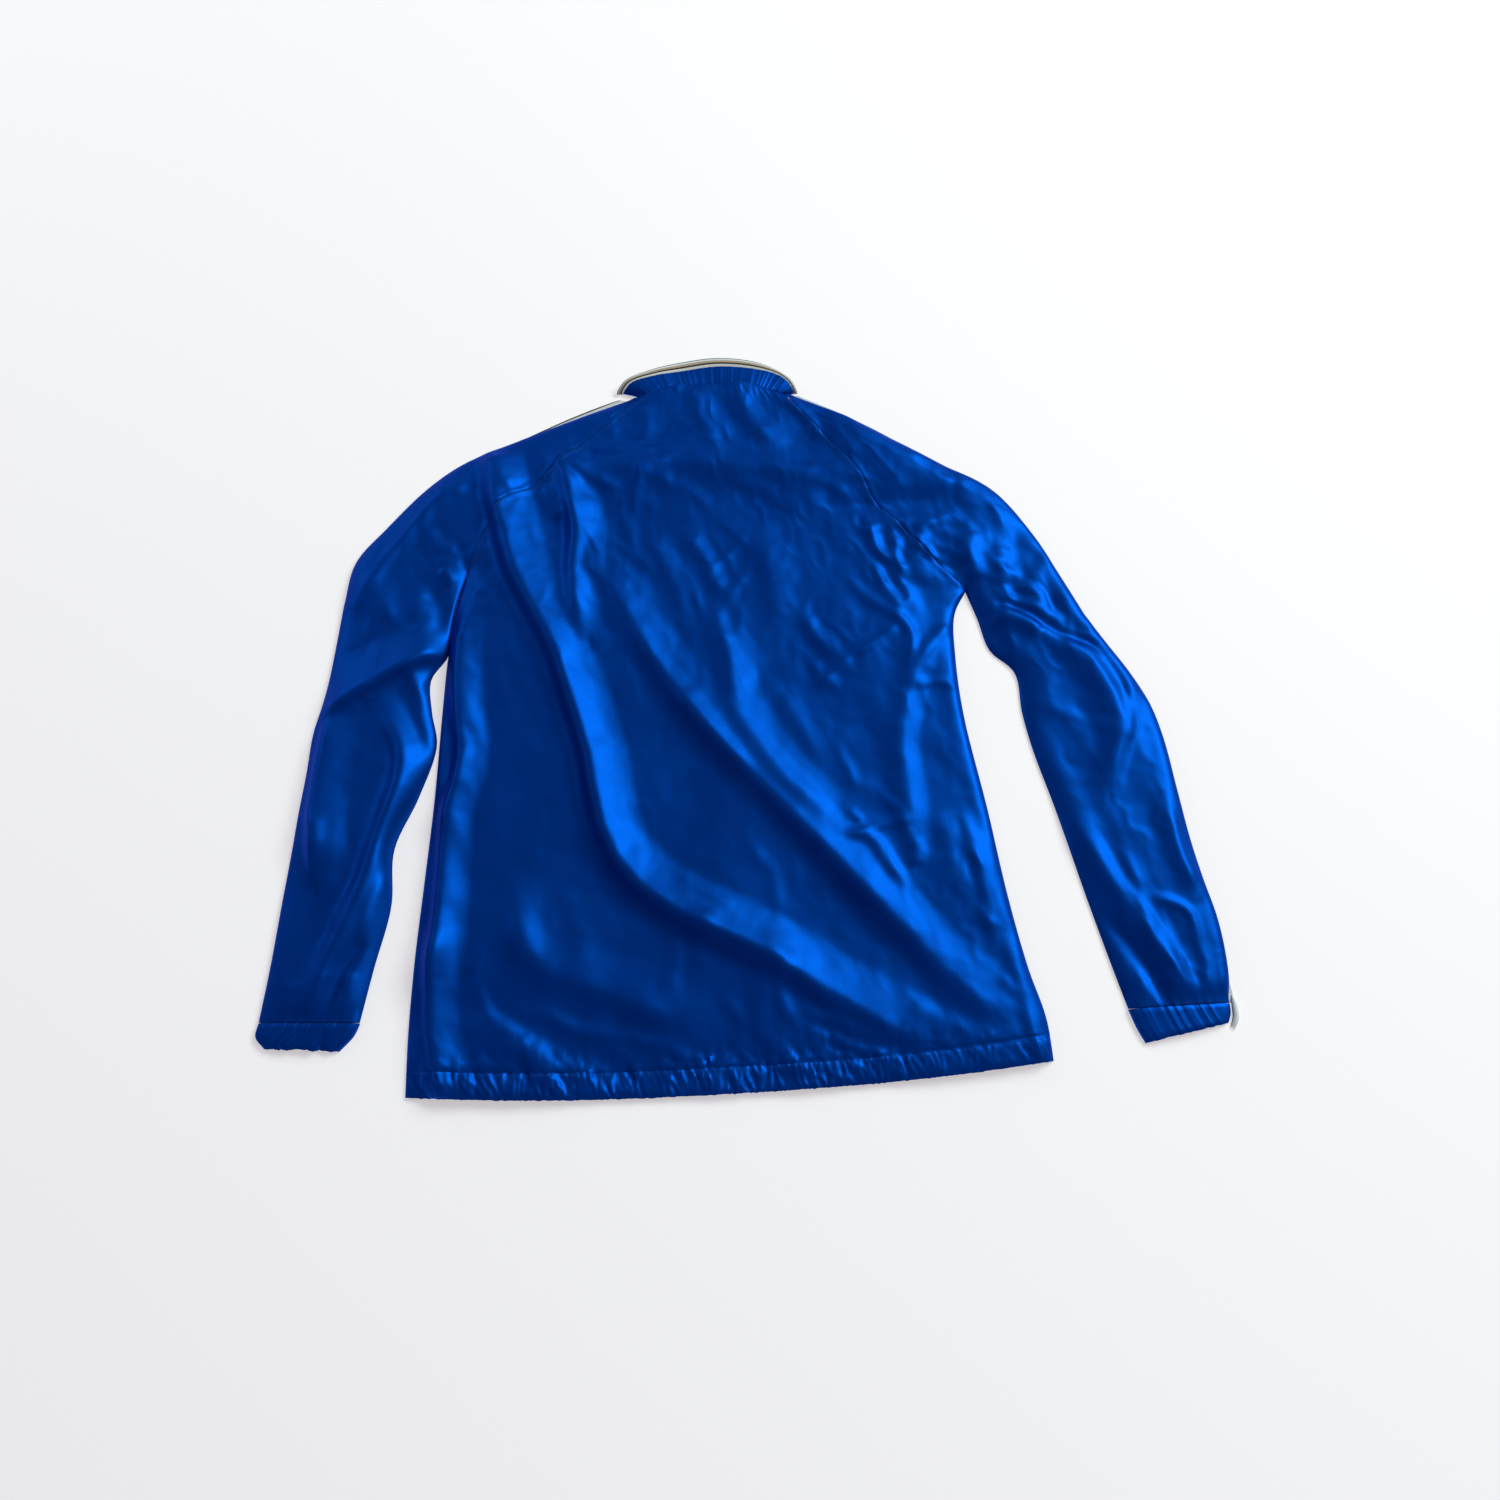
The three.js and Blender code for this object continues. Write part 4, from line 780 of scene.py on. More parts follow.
def striped(name, along, bands, ribs):
    """A finish in bands, by the share across the piece, with fine ribs across them.

    The ribs follow each other along that side of the UV map, and bands lists where each colour starts."""
    blur = 0.012
    material, tree, shader = new_material(name)
    link = tree.links.new
    uv = node(tree, "ShaderNodeUVMap", uv_map="cloth")
    sides = node(tree, "ShaderNodeSeparateXYZ")
    link(uv.outputs["UV"], sides.inputs["Vector"])
    across = sides.outputs["Y" if along == "X" else "X"]
    shades = node(tree, "ShaderNodeValToRGB")
    ramp = shades.color_ramp
    while len(ramp.elements) < 2 * len(bands) - 1:
        ramp.elements.new(0.5)
    places = [bands[0]]
    for (_, before), (start, colour) in zip(bands, bands[1:]):
        places += [(start - blur, before), (start + blur, colour)]
    for element, (position, colour) in zip(ramp.elements, places):
        element.position = position
        element.color = (*colour, 1)
    link(across, shades.inputs["Fac"])
    link(shades.outputs["Color"], shader.inputs["Base Color"])
    wave = node(tree, "ShaderNodeMath", operation="MULTIPLY")
    wave.inputs[1].default_value = 2 * math.pi / ribs
    link(sides.outputs[along], wave.inputs[0])
    crest = node(tree, "ShaderNodeMath", operation="SINE")
    link(wave.outputs[0], crest.inputs[0])
    relief = node(tree, "ShaderNodeBump", Strength=0.5, Distance=0.0003)
    link(crest.outputs[0], relief.inputs["Height"])
    link(relief.outputs["Normal"], shader.inputs["Normal"])
    shader.inputs["Roughness"].default_value = 0.9
    return material


CREAM = (0.92, 0.88, 0.78)
BROWN = (0.055, 0.03, 0.022)
TAN = (0.58, 0.42, 0.3)
WHITE = (0.92, 0.91, 0.88)
GREY = (0.09, 0.09, 0.10)
SATIN = satin()
WHITE_TAPE = striped("off-white woven tape", "Y", ((0.0, GREY), (0.08, WHITE), (0.92, GREY)), 0.0011)
ZIP_TAPE = plain("blue zip tape", (0.006, 0.03, 0.16), 0.8)
METAL = plain("pressed zip metal", (0.6, 0.61, 0.63), 0.32, metallic=1.0, grain=400.0, bump=0.05)
KNIT = striped(
    "striped rib knit", "X", ((0.0, CREAM), (0.24, BROWN), (0.42, TAN), (0.68, WHITE), (0.9, GREY)), 0.0016
)
THREAD = plain("blue sewing thread", (0.003, 0.05, 0.25), 0.6, grain=2500.0)


# Lines that the sheets share
def spread(line, shares):
    """Points at those shares of a line's length."""
    even = np.linspace(0, 1, len(line))
    return np.stack([np.interp(shares, even, line[:, k]) for k in range(line.shape[1])], axis=1)


# Shares of the edge lines at which the sheets have their rows, closer together at the hem and at the cuffs
BODY_SHARES = np.concatenate([np.linspace(0, 0.066, 24)[:-1], np.linspace(0.066, 1, 148)])
RAGLAN_SHARES = np.linspace(0, 1, 86)
SLEEVE_SHARES = np.concatenate([np.linspace(0, 0.9, 128)[:-1], np.linspace(0.9, 1, 26)])
body = {
    "left": spread(centripetal([(*row[0], row[2]) for row in BODY_ROWS], 900), BODY_SHARES),
    "right": spread(centripetal([(*row[1], row[2]) for row in BODY_ROWS], 900), BODY_SHARES),
}
raglan = {hand: spread(centripetal(RAGLAN[hand], 400), RAGLAN_SHARES) for hand in RAGLAN}


def body_lines():
    """Left and right edge of the body from the hem to the neck, and how far each row dips or bows."""
    left = np.vstack([body["left"][:, :2], raglan["left"][1:]])
    right = np.vstack([body["right"][:, :2], raglan["right"][1:]])
    bow = np.concatenate([body["left"][:, 2], NECK_BOW * RAGLAN_SHARES[1:] ** 3])
    return left, right, bow


def sleeve_lines(hand):
    """Inner and outer line of a sleeve, from the cuff up to the neck."""
    upper_outer = spread(centripetal(SHOULDER[hand], 400), RAGLAN_SHARES)[::-1]
    inner = spread(centripetal([row[0] for row in SLEEVE[hand]], 400), SLEEVE_SHARES)[1:]
    outer = spread(centripetal([row[1] for row in SLEEVE[hand]], 400), SLEEVE_SHARES)[1:]
    return np.vstack([raglan[hand][::-1], inner])[::-1], np.vstack([upper_outer, outer])[::-1]


def raised(plan, level):
    """A plan with the height of every place added to it."""
    heights = level(plan.reshape(-1, 2)).reshape(plan.shape[:2])
    return np.dstack([plan, heights])


# Back: one sheet from the hem's seam to the neck seam, and one for the hem's casing
HEM_LEFT = np.array(BODY_ROWS[0][0])
HEM_RIGHT = np.array(BODY_ROWS[0][1])
HEM_BOW = BODY_ROWS[0][2]
NECK_LEFT = np.array(RAGLAN["left"][-1])
NECK_RIGHT = np.array(RAGLAN["right"][-1])
pucker_noise = Noise(SEED + 6, 7.0)
gather_noise = Noise(SEED + 7, 19.0)


def over_line(xy, left, right, bow):
    """How far each place is beyond the curved line between two ends."""
    u = np.clip((xy[:, 0] - left[0]) / (right[0] - left[0]), 0, 1)
    return xy[:, 1] - (left[1] + (right[1] - left[1]) * u + bow * crown(u))


def gathered(xy, away, reach):
    """Short gathers that run up and down beside a line, for as far as reach."""
    drawn = np.stack([xy[:, 0] + 0.35 * xy[:, 1], 0.34 * xy[:, 1]], axis=1)
    folds = 0.35 - 1.6 * np.abs(pucker_noise(drawn)) + 1.1 * gather_noise(drawn * (1, 1.8))
    return folds * fade(away, reach)


def hem_puckers(xy):
    """Fine upright puckers of the drawn-in hem, uneven in width and depth."""
    across = 1.5 * xy[:, 0] + 3.0 * gather_noise(xy)
    fine = 0.45 - 1.5 * np.abs(pucker_noise(np.stack([across, 0.3 * xy[:, 1]], axis=1)))
    return (0.75 + 0.9 * small_noise(xy)) * fine


def back_level(xy):
    """Height of the back: gathers above the hem's seam, puckers in the casing, gathers at the neck."""
    gather_height, gather_reach = 2.3, 24
    pucker_height, pucker_reach = 1.05, 7
    groove_depth, groove_reach = 0.6, 1.6
    casing_height, casing_reach = 0.7, 8
    edge_roll, edge_reach = 0.8, 1.5
    neck_height, neck_reach = 0.8, 14
    level = upper_level(xy)
    up = np.maximum(over_line(xy, HEM_LEFT, HEM_RIGHT, HEM_BOW), 0)
    above = np.maximum(up - HEM_DEPTH, 0)
    room = np.minimum(1, (level - WALL) / 6)
    level -= HEM_DIP * np.exp(-up / 30) * room
    uneven = 0.75 + 0.6 * small_noise(xy)
    calm = 1 - 0.5 * smooth(xy[:, 0], 60, 180)
    gathers = room * gather_height * uneven * gathered(xy, above, gather_reach)
    level += gathers * smooth(up, -4, 6) * calm
    puckers = room * pucker_height * hem_puckers(xy) * fade(above, pucker_reach)
    level += puckers * smooth(up, -8, 2) * calm
    level -= groove_depth * room * fade(up - HEM_DEPTH, groove_reach)
    level += casing_height * room * fade(up - HEM_DEPTH / 2, casing_reach, 4)
    level -= edge_roll * room * fade(up, edge_reach, 1.5)
    below = np.maximum(-over_line(xy, NECK_LEFT, NECK_RIGHT, NECK_BOW), 0)
    level += neck_height * gathered(xy, below, neck_reach) - 0.5 * fade(below, 1.4)
    return level


def turned_in(row, depth):
    """One more row past a neck edge, turned down to close the seam."""
    lip = row + (0, 0.25, 0)
    lip[:, 2] = np.maximum(row[:, 2] - depth, NECK_LOW)
    return lip[None]


def make_back():
    left, right, bow = body_lines()
    columns, hem_columns = 184, 400
    plan = sheet_between(left[HEM_ROW:], right[HEM_ROW:], columns, bow[HEM_ROW:])
    points = raised(plan, back_level)
    from_corner = np.minimum(points[-1, :, 0] - NECK_LEFT[0], NECK_RIGHT[0] - points[-1, :, 0])
    points = np.concatenate([points, turned_in(points[-1], 1.8 + 3.2 * fade(from_corner, 8))])
    piece = surface("shell_back", points)
    give_thickness(piece)
    dress(piece, SATIN, stands_for=("back_panel",))
    # Hem: its lower edge is wavy, and its upper edge is tucked a little way under the back's lower one
    last = HEM_ROW + 1
    plan = sheet_between(left[:last], right[:last], hem_columns, bow[:last])
    plan[0, :, 1] += 0.8 * hem_puckers(plan[0])
    points = raised(plan, back_level)
    points[-1] += (0, 0.7, -0.55)
    piece = surface("shell_hem", points)
    give_thickness(piece)
    dress(piece, SATIN, stands_for=("hem_back",))


# Sleeves: the back half on top, drawn in to the cuff
def cuff_share(hand, xy):
    """Distance from the cuff's seam, and the share of the way from its inner to its outer end."""
    a, b = (np.array(point, float) for point in CUFF[hand][0])
    d = b - a
    u = np.clip((xy - a) @ d / (d @ d), 0, 1)
    normal = np.array([-d[1], d[0]]) / np.linalg.norm(d)
    return np.abs((xy - a) @ normal), u


def cuff_ripple(hand, along, share):
    """Uneven gathers round the cuff, full between sharp valleys, by the millimetres from its inner end."""
    start = 0.6 if hand == "left" else 2.1
    wander = 1.3 * np.sin(along / 11.0 + start) + 0.7 * np.sin(along / 4.3 + 2 * start)
    large = 0.62 - np.abs(np.sin(math.pi * along / 12.5 + wander))
    small = 0.6 - np.abs(np.sin(math.pi * along / 5.2 + 1.6 * wander))
    fullness = 1.2 if hand == "left" else 0.55
    return fullness * (1.5 * large + 0.7 * small) * np.minimum(1, 6 * share * (1 - share))


def sleeve_level(hand):
    """Height of the back half of a sleeve, drawn down to its cuff."""
    near_cuff, draw_reach = -150, 13
    width = np.linalg.norm(np.subtract(*CUFF[hand][0]))

    def level(xy):
        top = upper_level(xy)
        away, u = cuff_share(hand, xy)
        low = xy[:, 1] < near_cuff
        draw = np.where(low, fade(away, draw_reach), 0)
        band = WALL / 2 + CUFF_HEIGHT * (4 * u * (1 - u)) ** 0.275
        ripple = cuff_ripple(hand, u * width + 0.25 * away, u)
        folds = np.where(low, np.exp(-away / draw_reach), 0) * ripple
        groove = np.where(low, fade(away, 1.4), 0)
        drawn_in = top + (np.minimum(band, top) - top) * draw
        return drawn_in + 0.8 * folds - 0.5 * groove * np.minimum(1, 8 * u * (1 - u))

    return level


def make_sleeve_back(hand):
    inner, outer = sleeve_lines(hand)
    ends = (outer, inner) if hand == "left" else (inner, outer)
    points = raised(sheet_between(ends[0], ends[1], 46), sleeve_level(hand))
    points = np.concatenate([points, turned_in(points[-1], 5.0)])
    piece = surface(f"shell_sleeve_back_{hand}", points)
    give_thickness(piece)
    dress(piece, SATIN, stands_for=(f"sleeve_back_{hand}",))


# Fronts and the front halves of the sleeves lie on the surface, with folds of their own
def under_folds(xy):
    """Folds of the layers below: like those on top, turned over about the zip."""
    highest = 2.4
    mirrored = np.stack([-30 - xy[:, 0], xy[:, 1] + 24], axis=1)
    inward = 1 - fade(edges_at(xy)[0], 26)
    return inward * np.clip(UNDER_FOLD * (folds_at(mirrored) + 2.5 * large_noise(mirrored)), 0, highest)


def zip_x(y):
    """Where the middle of the zip is at that height in the plan."""
    return np.interp(y, (ZIP_FOOT[1], ZIP_HEAD[1]), (ZIP_FOOT[0], ZIP_HEAD[0]))


def make_front(hand):
    """One front, from the side seam to the zip, where it is folded back."""
    sign = -1 if hand == "left" else 1
    left, right, bow = (line[::2] for line in body_lines())
    straight = (left[:, 1] + right[:, 1]) / 2 + bow
    scoop_from = 300
    scooped = np.interp(straight, (scoop_from, straight[-1]), (scoop_from, FRONT_NECK))
    inner_y = np.where(straight < scoop_from, straight, scooped)
    inner = np.stack([zip_x(inner_y) + sign * ZIP_CLOTH, inner_y], axis=1)
    ends = (left, inner) if hand == "left" else (inner, right)

    def level(xy):
        away = np.abs(xy[:, 0] - zip_x(xy[:, 1]))
        up = np.maximum(over_line(xy, HEM_LEFT, HEM_RIGHT, HEM_BOW), 0)
        gathers = gathered(xy, np.maximum(up - HEM_DEPTH, 0), 12)
        hem = np.clip(0.5 * gathers, 0, 1) * smooth(away, 20, 60)
        rest = smooth(away, 30, 70) * under_folds(xy) + hem
        return UNDER_MID + ZIP_LEVEL * (1 - smooth(away, ZIP_OUT + 1, ZIP_OUT + 30)) + rest

    points = raised(sheet_between(*ends, 52), level)
    piece = surface(f"shell_front_{hand}", points)
    give_thickness(piece)
    dress(piece, SATIN, stands_for=(f"front_{hand}",))


def make_sleeve_front(hand):
    """Front half of a sleeve, raised a little where it passes over its tape and, on the left, the body."""
    inner, outer = sleeve_lines(hand)
    edge = centripetal(outer[::4], 80)
    at_armpit = smooth(inner[:, 1], 84, 100) * (1 - smooth(inner[:, 1], 186, 196)) * (hand == "left")
    body_side = inner.copy()
    inner = inner + UNDER_BODY * np.stack([at_armpit, np.zeros(len(inner))], axis=1)
    ends = (outer, inner) if hand == "left" else (inner, outer)

    def level(xy):
        away = nearest(edge, xy)[0]
        over = OVER_TAPE * (1 - smooth(away, TAPE_WIDTH + 6, TAPE_WIDTH + 20))
        if hand == "left":
            over += 0.5 * (1 - smooth(nearest(body_side, xy)[0], 1, 9)) * smooth(xy[:, 1], 80, 90)
        return UNDER_MID + over + 0.7 * under_folds(xy)

    points = raised(sheet_between(ends[0][::2], ends[1][::2], 26), level)
    piece = surface(f"shell_sleeve_front_{hand}", points)
    give_thickness(piece)
    dress(piece, SATIN, stands_for=(f"sleeve_front_{hand}",))


def make_tape(hand):
    """White tape under the outer edge of a sleeve, which shows beyond it at the neck and at one cuff."""
    inner, outer = sleeve_lines(hand)
    at_neck, at_cuff = TAPE_SHOWS[hand]
    along = np.linspace(0, 1, len(outer))
    showing = at_neck * smooth(along, 0.84, 1) + at_cuff * (1 - smooth(along, 0, 0.08))
    span = np.linalg.norm(inner - outer, axis=1)
    inward = (inner - outer) / span[:, None]
    edge = outer + inward * (1 - showing)[:, None]
    border = outer + inward * np.minimum(TAPE_WIDTH, span - 1)[:, None]
    ends = (edge, border) if hand == "left" else (border, edge)
    u = np.linspace(0, 1, 9)[None, :, None]
    plan = ends[0][:, None] + (ends[1] - ends[0])[:, None] * u
    points = raised(plan, lambda xy: TAPE_MID + 0.12 * (1 + small_noise(xy)))
    piece = surface(f"shell_tape_{hand}", points, share="u")
    give_thickness(piece, TAPE_SHELL)
    dress(piece, WHITE_TAPE, stands_for=(f"sleeve_tape_{hand}",))


def make_tape_end():
    """End of the right tape, bent out beside the cuff."""
    border = centripetal([(420.2, -229), (419.2, -238), (418.6, -247), (416.0, -255)], 24)
    edge = centripetal([(421.6, -227), (424.4, -237), (424.2, -248), (419.0, -258)], 24)
    v = np.linspace(0, 1, 25)
    lowest, arch = 0.3, 3.4
    rows = []
    for u in np.linspace(0, 1, 9):
        plan = border + (edge - border) * u
        across = math.sin(math.pi * min(1, 0.12 + 0.8 * u))
        height = lowest + arch * across * np.sin(math.pi * np.clip(v, 0.04, 0.96)) ** 0.6
        rows.append(np.column_stack([plan, height]))
    points = np.array(rows).transpose(1, 0, 2)[::-1]
    piece = surface("tape_end_right", points, share="u")
    give_thickness(piece, TAPE_SHELL)
    dress(piece, WHITE_TAPE)


def make_cuff(hand):
    """Elastic cuff: a flattened ring, gathered all round."""
    shares = np.linspace(0, 1, 16)
    inner = spread(centripetal([row[0] for row in CUFF[hand]], 100), shares)
    outer = spread(centripetal([row[1] for row in CUFF[hand]], 100), shares)
    ends = (outer, inner) if hand == "left" else (inner, outer)
    upper, under = 150, 60
    pinch_x = -367
    points = np.zeros((len(shares), upper + under, 3))
    for i, share in enumerate(shares):
        a, b = ends[0][i], ends[1][i]
        mouth = (b - a)[::-1] * (1, -1) / np.linalg.norm(b - a)
        for first, count, start, end in ((0, upper, a, b), (upper, under, b, a)):
            angle = math.pi * np.arange(count) / count
            w = 0.5 - 0.5 * np.cos(angle)
            xy = start + (end - start) * w[:, None]
            ripple = cuff_ripple(hand, np.linalg.norm(xy - inner[i], axis=1), w)
            rounded = np.sin(angle) ** 0.55
            if first == 0:
                height = CUFF_HEIGHT - 1.2 * share - 1.0 * fade(share, 0.07)
                tuck = 1.4 * fade(1 - share, 0.08)
                pinch = 2.6 * fade(xy[:, 0] - pinch_x, 5) if hand == "left" else 0
                z = WALL / 2 + (height - tuck - pinch * share) * rounded
                z += 0.8 * ripple * rounded * (1 - 0.3 * share)
            else:
                z = UNDER_MID + np.clip(0.5 * ripple * rounded, 0, 1)
            points[i, first : first + count, :2] = xy + mouth * (0.9 * share * ripple)[:, None]
            points[i, first : first + count, 2] = np.maximum(z, UNDER_MID)
    points = points[::-1]
    piece = surface(f"shell_cuff_{hand}", points, closed=True)
    give_thickness(piece)
    dress(piece, SATIN, stands_for=(f"cuff_{hand}",))


# Collar: a gathered band round the neck and its striped knit edge
def neck_line(x, level):
    """Where the neckline is at x: on the back where level is None, and on the fronts otherwise."""
    if level is None:
        u = (x - NECK_LEFT[0]) / (NECK_RIGHT[0] - NECK_LEFT[0])
        return NECK_LEFT[1] + (NECK_RIGHT[1] - NECK_LEFT[1]) * u + NECK_BOW * crown(u) + GAP
    sign = -1 if x < ZIP_HEAD[0] else 1
    outer = NECK_LEFT if sign < 0 else NECK_RIGHT
    inner_x = zip_x(FRONT_NECK) + sign * ZIP_CLOTH
    share = (x - outer[0]) / (inner_x - outer[0])
    return outer[1] + (FRONT_NECK - outer[1]) * share + GAP


def collar_curve(column):
    """Curve through one column of the collar's table, with the height of each place."""
    points = []
    for seam_x, seam_y, top_x, top_y, rim_x, rim_y, level in COLLAR_ROWS:
        y = seam_y if seam_y is not None else neck_line(seam_x, level)
        x, y = {"seam": (seam_x, y), "top": (top_x, top_y), "rim": (rim_x, rim_y)}[column]
        height = level if level is not None else upper_level(np.array([[x, y]]))[0] - 0.3
        points.append((x, y, height))
    return centripetal_run(points, COLLAR_STEPS)


def collar_ripple(steps):
    """Gathers along the collar: narrow ridges, close and uneven at the back of the neck and few in front."""
    k = np.linspace(0, 1, steps)
    at_back = smooth(k, 0.26, 0.36) * (1 - smooth(k, 0.66, 0.76))
    wander = 1.6 * np.sin(37 * k) + 1.1 * np.sin(83 * k + 1)
    ridges = (1 - np.abs(np.sin(math.pi * 88 * k + 1.7 * wander))) ** 1.6
    broad = np.sin(2 * math.pi * 19 * k + 2 * wander)
    return (ridges - 0.3 + 0.35 * broad) * (0.25 + 0.75 * at_back)


def make_collar():
    """Band and striped edge; the band's lowest rows are tucked in under the neck's edge."""
    seam, top, rim = (collar_curve(column) for column in ("seam", "top", "rim"))
    up = np.array([0, 0, 1.0])
    lying, standing = 1.2, 5
    knit_low = 0.5
    ripple = collar_ripple(len(seam))
    rows = []
    for v in (-0.1, 0.0, *np.linspace(0.05, 0.985, 12)):
        row = seam + (top - seam) * v
        swell = 1.0 * v - 0.5 + 0.62 * ripple * (1 - 0.3 * v) - 1.1 * max(0, 0.05 - v) / 0.15
        row = row + up * (swell * smooth(row[:, 2], lying, standing))[:, None]
        row[:, 2] = np.maximum(row[:, 2], UNDER_MID)
        rows.append(row)
    points = np.array(rows)
    band = surface("shell_collar_band", points)
    give_thickness(band)
    dress(band, SATIN, stands_for=("collar_band",))
    rows = []
    for v in np.linspace(0.03, 1, 9):
        row = top + (rim - top) * v
        row = row + up * (0.9 * math.sin(math.pi * v) * smooth(row[:, 2], lying, standing))[:, None]
        row[:, 2] = np.maximum(row[:, 2], knit_low)
        rows.append(row)
    knit = np.array(rows)
    trim = surface("shell_collar_trim", knit, share="v")
    give_thickness(trim, KNIT_THICK)
    dress(trim, KNIT, stands_for=("collar_trim",))


# Sewing: rows of stitches that stand a little out of the cloth
def stitch_rows(name, runs):
    """One mesh of small rounded stitches along each run, a run being points in millimetres."""
    length, gap, radius = 2.3, 1.2, 0.2
    rings = ((0.0, 0.35), (0.18, 0.9), (0.5, 1.0), (0.82, 0.9), (1.0, 0.35))
    sides = 6
    angles = 2 * math.pi * np.arange(sides) / sides
    vertices = []
    faces = []
    for run in runs:
        walked = np.concatenate([[0], np.cumsum(np.linalg.norm(np.diff(run, axis=0), axis=1))])
        for start in np.arange(gap, walked[-1] - length, length + gap):
            ends = (start, start + length)
            a, b = (np.array([np.interp(end, walked, run[:, k]) for k in range(3)]) for end in ends)
            way = (b - a) / np.linalg.norm(b - a)
            side = np.cross(way, (0, 0, 1.0))
            side /= np.linalg.norm(side)
            over = np.cross(side, way)
            faces += ringed_faces(len(vertices), len(rings), sides)
            for share, fat in rings:
                centre = a + (b - a) * share + over * (0.16 * math.sin(math.pi * share) - 0.06)
                for angle in angles:
                    round_it = math.cos(angle) * side + math.sin(angle) * over
                    vertices.append(centre + radius * fat * round_it)
    piece = new_piece(name, vertices, faces)
    face_outwards(piece)
    bpy.ops.object.shade_smooth()
    dress(piece, THREAD)


def beside(line, distance):
    """A line in plan moved sideways, to its right where the distance is above zero."""
    way = np.gradient(line, axis=0)
    way /= np.linalg.norm(way, axis=1)[:, None]
    return line + distance * np.stack([way[:, 1], -way[:, 0]], axis=1)


def on_top(plan, level):
    """A run on top of the cloth, from its plan."""
    return np.column_stack([plan, level(plan) + FABRIC / 2])


def make_sewing():
    """Stitches along the hem's casing, on both sides of the raglan seams and beside the cuffs."""
    u = np.linspace(0.012, 0.988, 400)[:, None]
    hem = HEM_LEFT + (HEM_RIGHT - HEM_LEFT) * u
    hem[:, 1] += HEM_BOW * crown(u[:, 0]) + HEM_DEPTH - STITCH_INSET
    runs = [on_top(hem, back_level)]
    for hand in ("left", "right"):
        line = centripetal(RAGLAN[hand], 260)[8:-6]
        inward = -1 if hand == "right" else 1
        for away in (1.6, 5.2):
            runs.append(on_top(beside(line, inward * away), back_level))
    stitch_rows("stitches_back", runs)
    sunk = 0.12
    for hand in ("left", "right"):
        a, b = (np.array(point, float) for point in CUFF[hand][0])
        up = np.array([0, STITCH_INSET])
        line = a + up + (b - a) * np.linspace(0.06, 0.94, 120)[:, None]
        stitch_rows(f"stitches_sleeve_{hand}", [on_top(line, sleeve_level(hand)) - (0, 0, sunk)])


# Zip: tapes and chain along its own line
def zip_place(x, y, z):
    """Plan place of a point given across, along and above the zip."""
    lean = math.atan2(ZIP_FOOT[0] - ZIP_HEAD[0], ZIP_HEAD[1] - ZIP_FOOT[1])
    return np.column_stack([
        ZIP_FOOT[0] + x * math.cos(lean) - y * math.sin(lean),
        ZIP_FOOT[1] + x * math.sin(lean) + y * math.cos(lean),
        z + 0 * x,
    ])


def make_zip_tapes():
    """Both woven tapes, each with a cord along its inner edge and faint ribs."""
    length = np.linalg.norm(ZIP_HEAD - ZIP_FOOT)
    for hand, sign in (("left", -1), ("right", 1)):
        across = np.sort(sign * np.array([2.1, 2.9, 5.0, 8.0, 11.0, 13.2, ZIP_OUT]))
        along = np.linspace(2, length - 4, 240)
        x, y = np.meshgrid(across, along)
        cord = 0.35 * fade(np.abs(x) - 2.4, 0.7)
        z = ZIP_TAPE_MID + cord + 0.05 * np.sin(y / 7)
        points = zip_place(x.ravel(), y.ravel(), z.ravel()).reshape(*x.shape, 3)
        piece = surface(f"shell_zip_tape_{hand}", points)
        give_thickness(piece, ZIP_TAPE_SHELL)
        dress(piece, ZIP_TAPE, stands_for=(f"zip_tape_{hand}",))


def make_zip_chain():
    """One tooth on each side in turn, every tooth a clamped leg and a rounded head."""
    outline = (
        (-1.75, 0.55), (-0.4, 0.55), (0.15, 0.42), (0.45, 0.2),
        (0.45, -0.2), (0.15, -0.42), (-0.4, -0.55), (-1.75, -0.55),
    )
    rings = ((4.02, 0.86), (4.2, 1.0), (5.4, 1.0), (5.58, 0.86))
    vertices = []
    faces = []
    for k in range(int((ZIP_TEETH_END - ZIP_TEETH_START) / ZIP_PITCH)):
        sign = 1 if k % 2 else -1
        y = ZIP_TEETH_START + k * ZIP_PITCH
        ring = outline if sign > 0 else outline[::-1]
        faces += ringed_faces(len(vertices), len(rings), len(ring))
        for z, fat in rings:
            for px, py in ring:
                vertices.append((-sign * px * fat, y + py * fat, z))
    raw = np.array(vertices)
    piece = new_piece("zip_chain", zip_place(raw[:, 0], raw[:, 1], raw[:, 2]), faces)
    face_outwards(piece)
    bpy.ops.object.shade_smooth_by_angle(angle=math.radians(40))
    dress(piece, METAL, stands_for=("zip_teeth",))


make_back()
for hand in ("left", "right"):
    make_sleeve_back(hand)
    make_front(hand)
    make_sleeve_front(hand)
    make_tape(hand)
    make_cuff(hand)
make_tape_end()
make_collar()
make_sewing()
make_zip_tapes()
make_zip_chain()

# Slider and pull tab: the solids themselves, in zip metal
for name in ("zip_slider", "pull_tab"):
    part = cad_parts[name]
    for k in range(len(part.material_slots)):
        part.material_slots[k].material = METAL


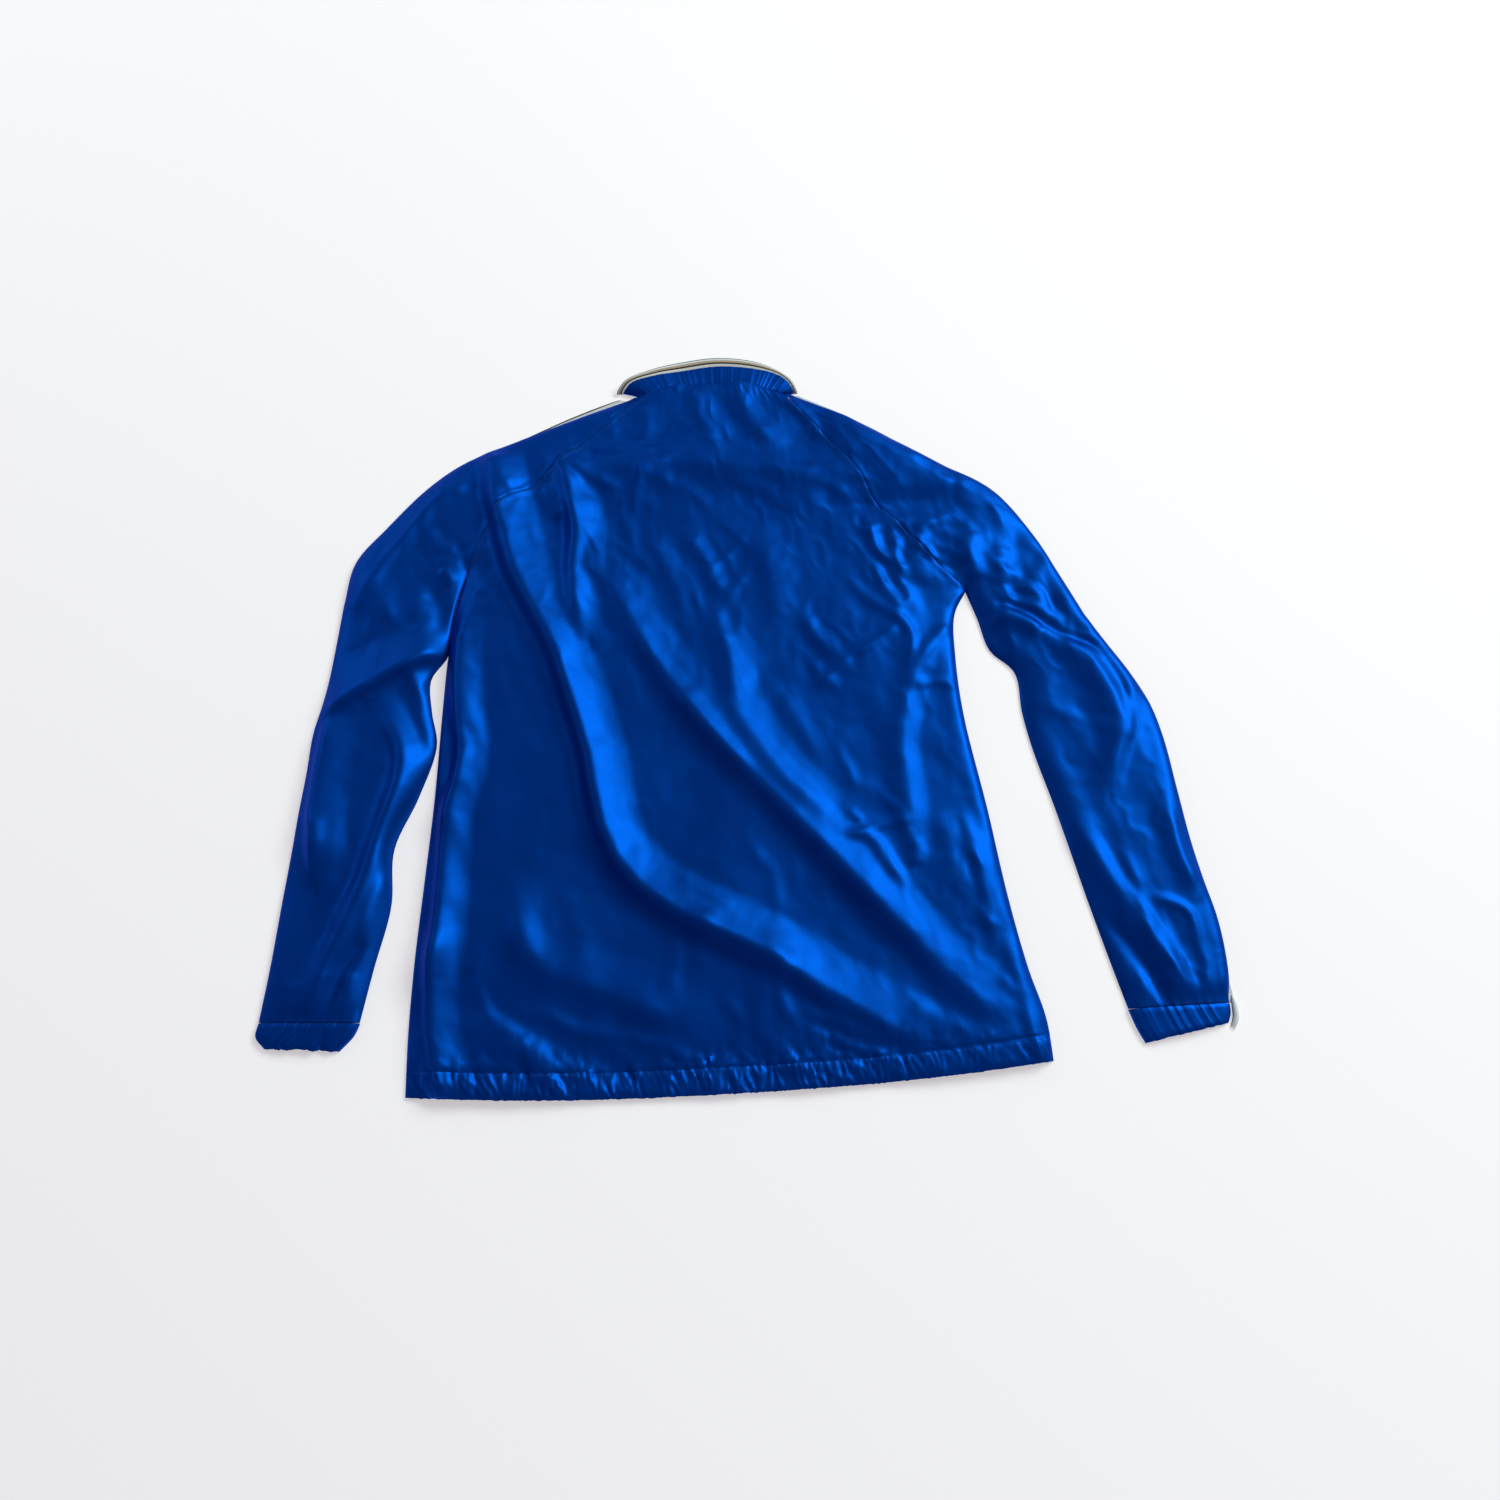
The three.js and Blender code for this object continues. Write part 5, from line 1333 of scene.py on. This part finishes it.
# Floor, light and camera
def add_lamp(name, place, size, power, colour):
    """A wide, soft light that faces the middle of the jacket."""
    light = bpy.data.lights.new(name, "AREA")
    light.color = colour
    light.shape = "RECTANGLE"
    light.size = size[0]
    light.size_y = size[1]
    light.energy = power
    holder = bpy.data.objects.new(name, light)
    bpy.context.collection.objects.link(holder)
    holder.location = place
    holder.rotation_euler = (-Vector(place)).to_track_quat("-Z", "Y").to_euler()


def make_stage():
    """A pale floor, the light of the room, a window behind on the right and two weaker lamps."""
    bpy.ops.mesh.primitive_plane_add(size=12)
    floor = bpy.context.object
    floor.name = "floor"
    material, _, shader = new_material("pale floor")
    shader.inputs["Base Color"].default_value = (0.72, 0.68, 0.70, 1)
    shader.inputs["Roughness"].default_value = 0.9
    shader.inputs["Emission Color"].default_value = (1.0, 0.95, 0.92, 1)
    shader.inputs["Emission Strength"].default_value = 0.485
    floor.data.materials.append(material)

    world = bpy.data.worlds.new("room")
    world.use_nodes = True
    background = world.node_tree.nodes["Background"]
    background.inputs["Color"].default_value = (0.64, 0.69, 1.0, 1)
    background.inputs["Strength"].default_value = 0.23
    bpy.context.scene.world = world

    add_lamp("window", (3.2, 2.2, 2.9), (3.2, 1.7), 172, (0.94, 1.1, 1.0))
    add_lamp("back wall", (0.2, 3.2, 2.2), (4.0, 1.6), 7, (0.94, 1.06, 1.0))
    add_lamp("far wall", (-1.9, 1.3, 0.95), (1.8, 0.8), 6, (0.94, 1.06, 1.0))


def make_camera():
    """The photo's view, aimed at the middle of the jacket's plan."""
    lens = bpy.data.cameras.new("camera")
    lens.lens = LENS
    lens.sensor_width = SENSOR
    camera = bpy.data.objects.new("camera", lens)
    bpy.context.collection.objects.link(camera)
    target = Vector((-MIDDLE[0] * MM, -MIDDLE[1] * MM, 0))
    away = Vector((0, -math.cos(CAMERA_UP), math.sin(CAMERA_UP))) * CAMERA_AWAY * MM
    camera.location = target + away
    camera.rotation_euler = (math.pi / 2 - CAMERA_UP, 0, 0)
    bpy.context.scene.camera = camera


make_stage()
make_camera()
bpy.context.scene.view_settings.view_transform = "Standard"

bpy.ops.object.select_all(action="DESELECT")
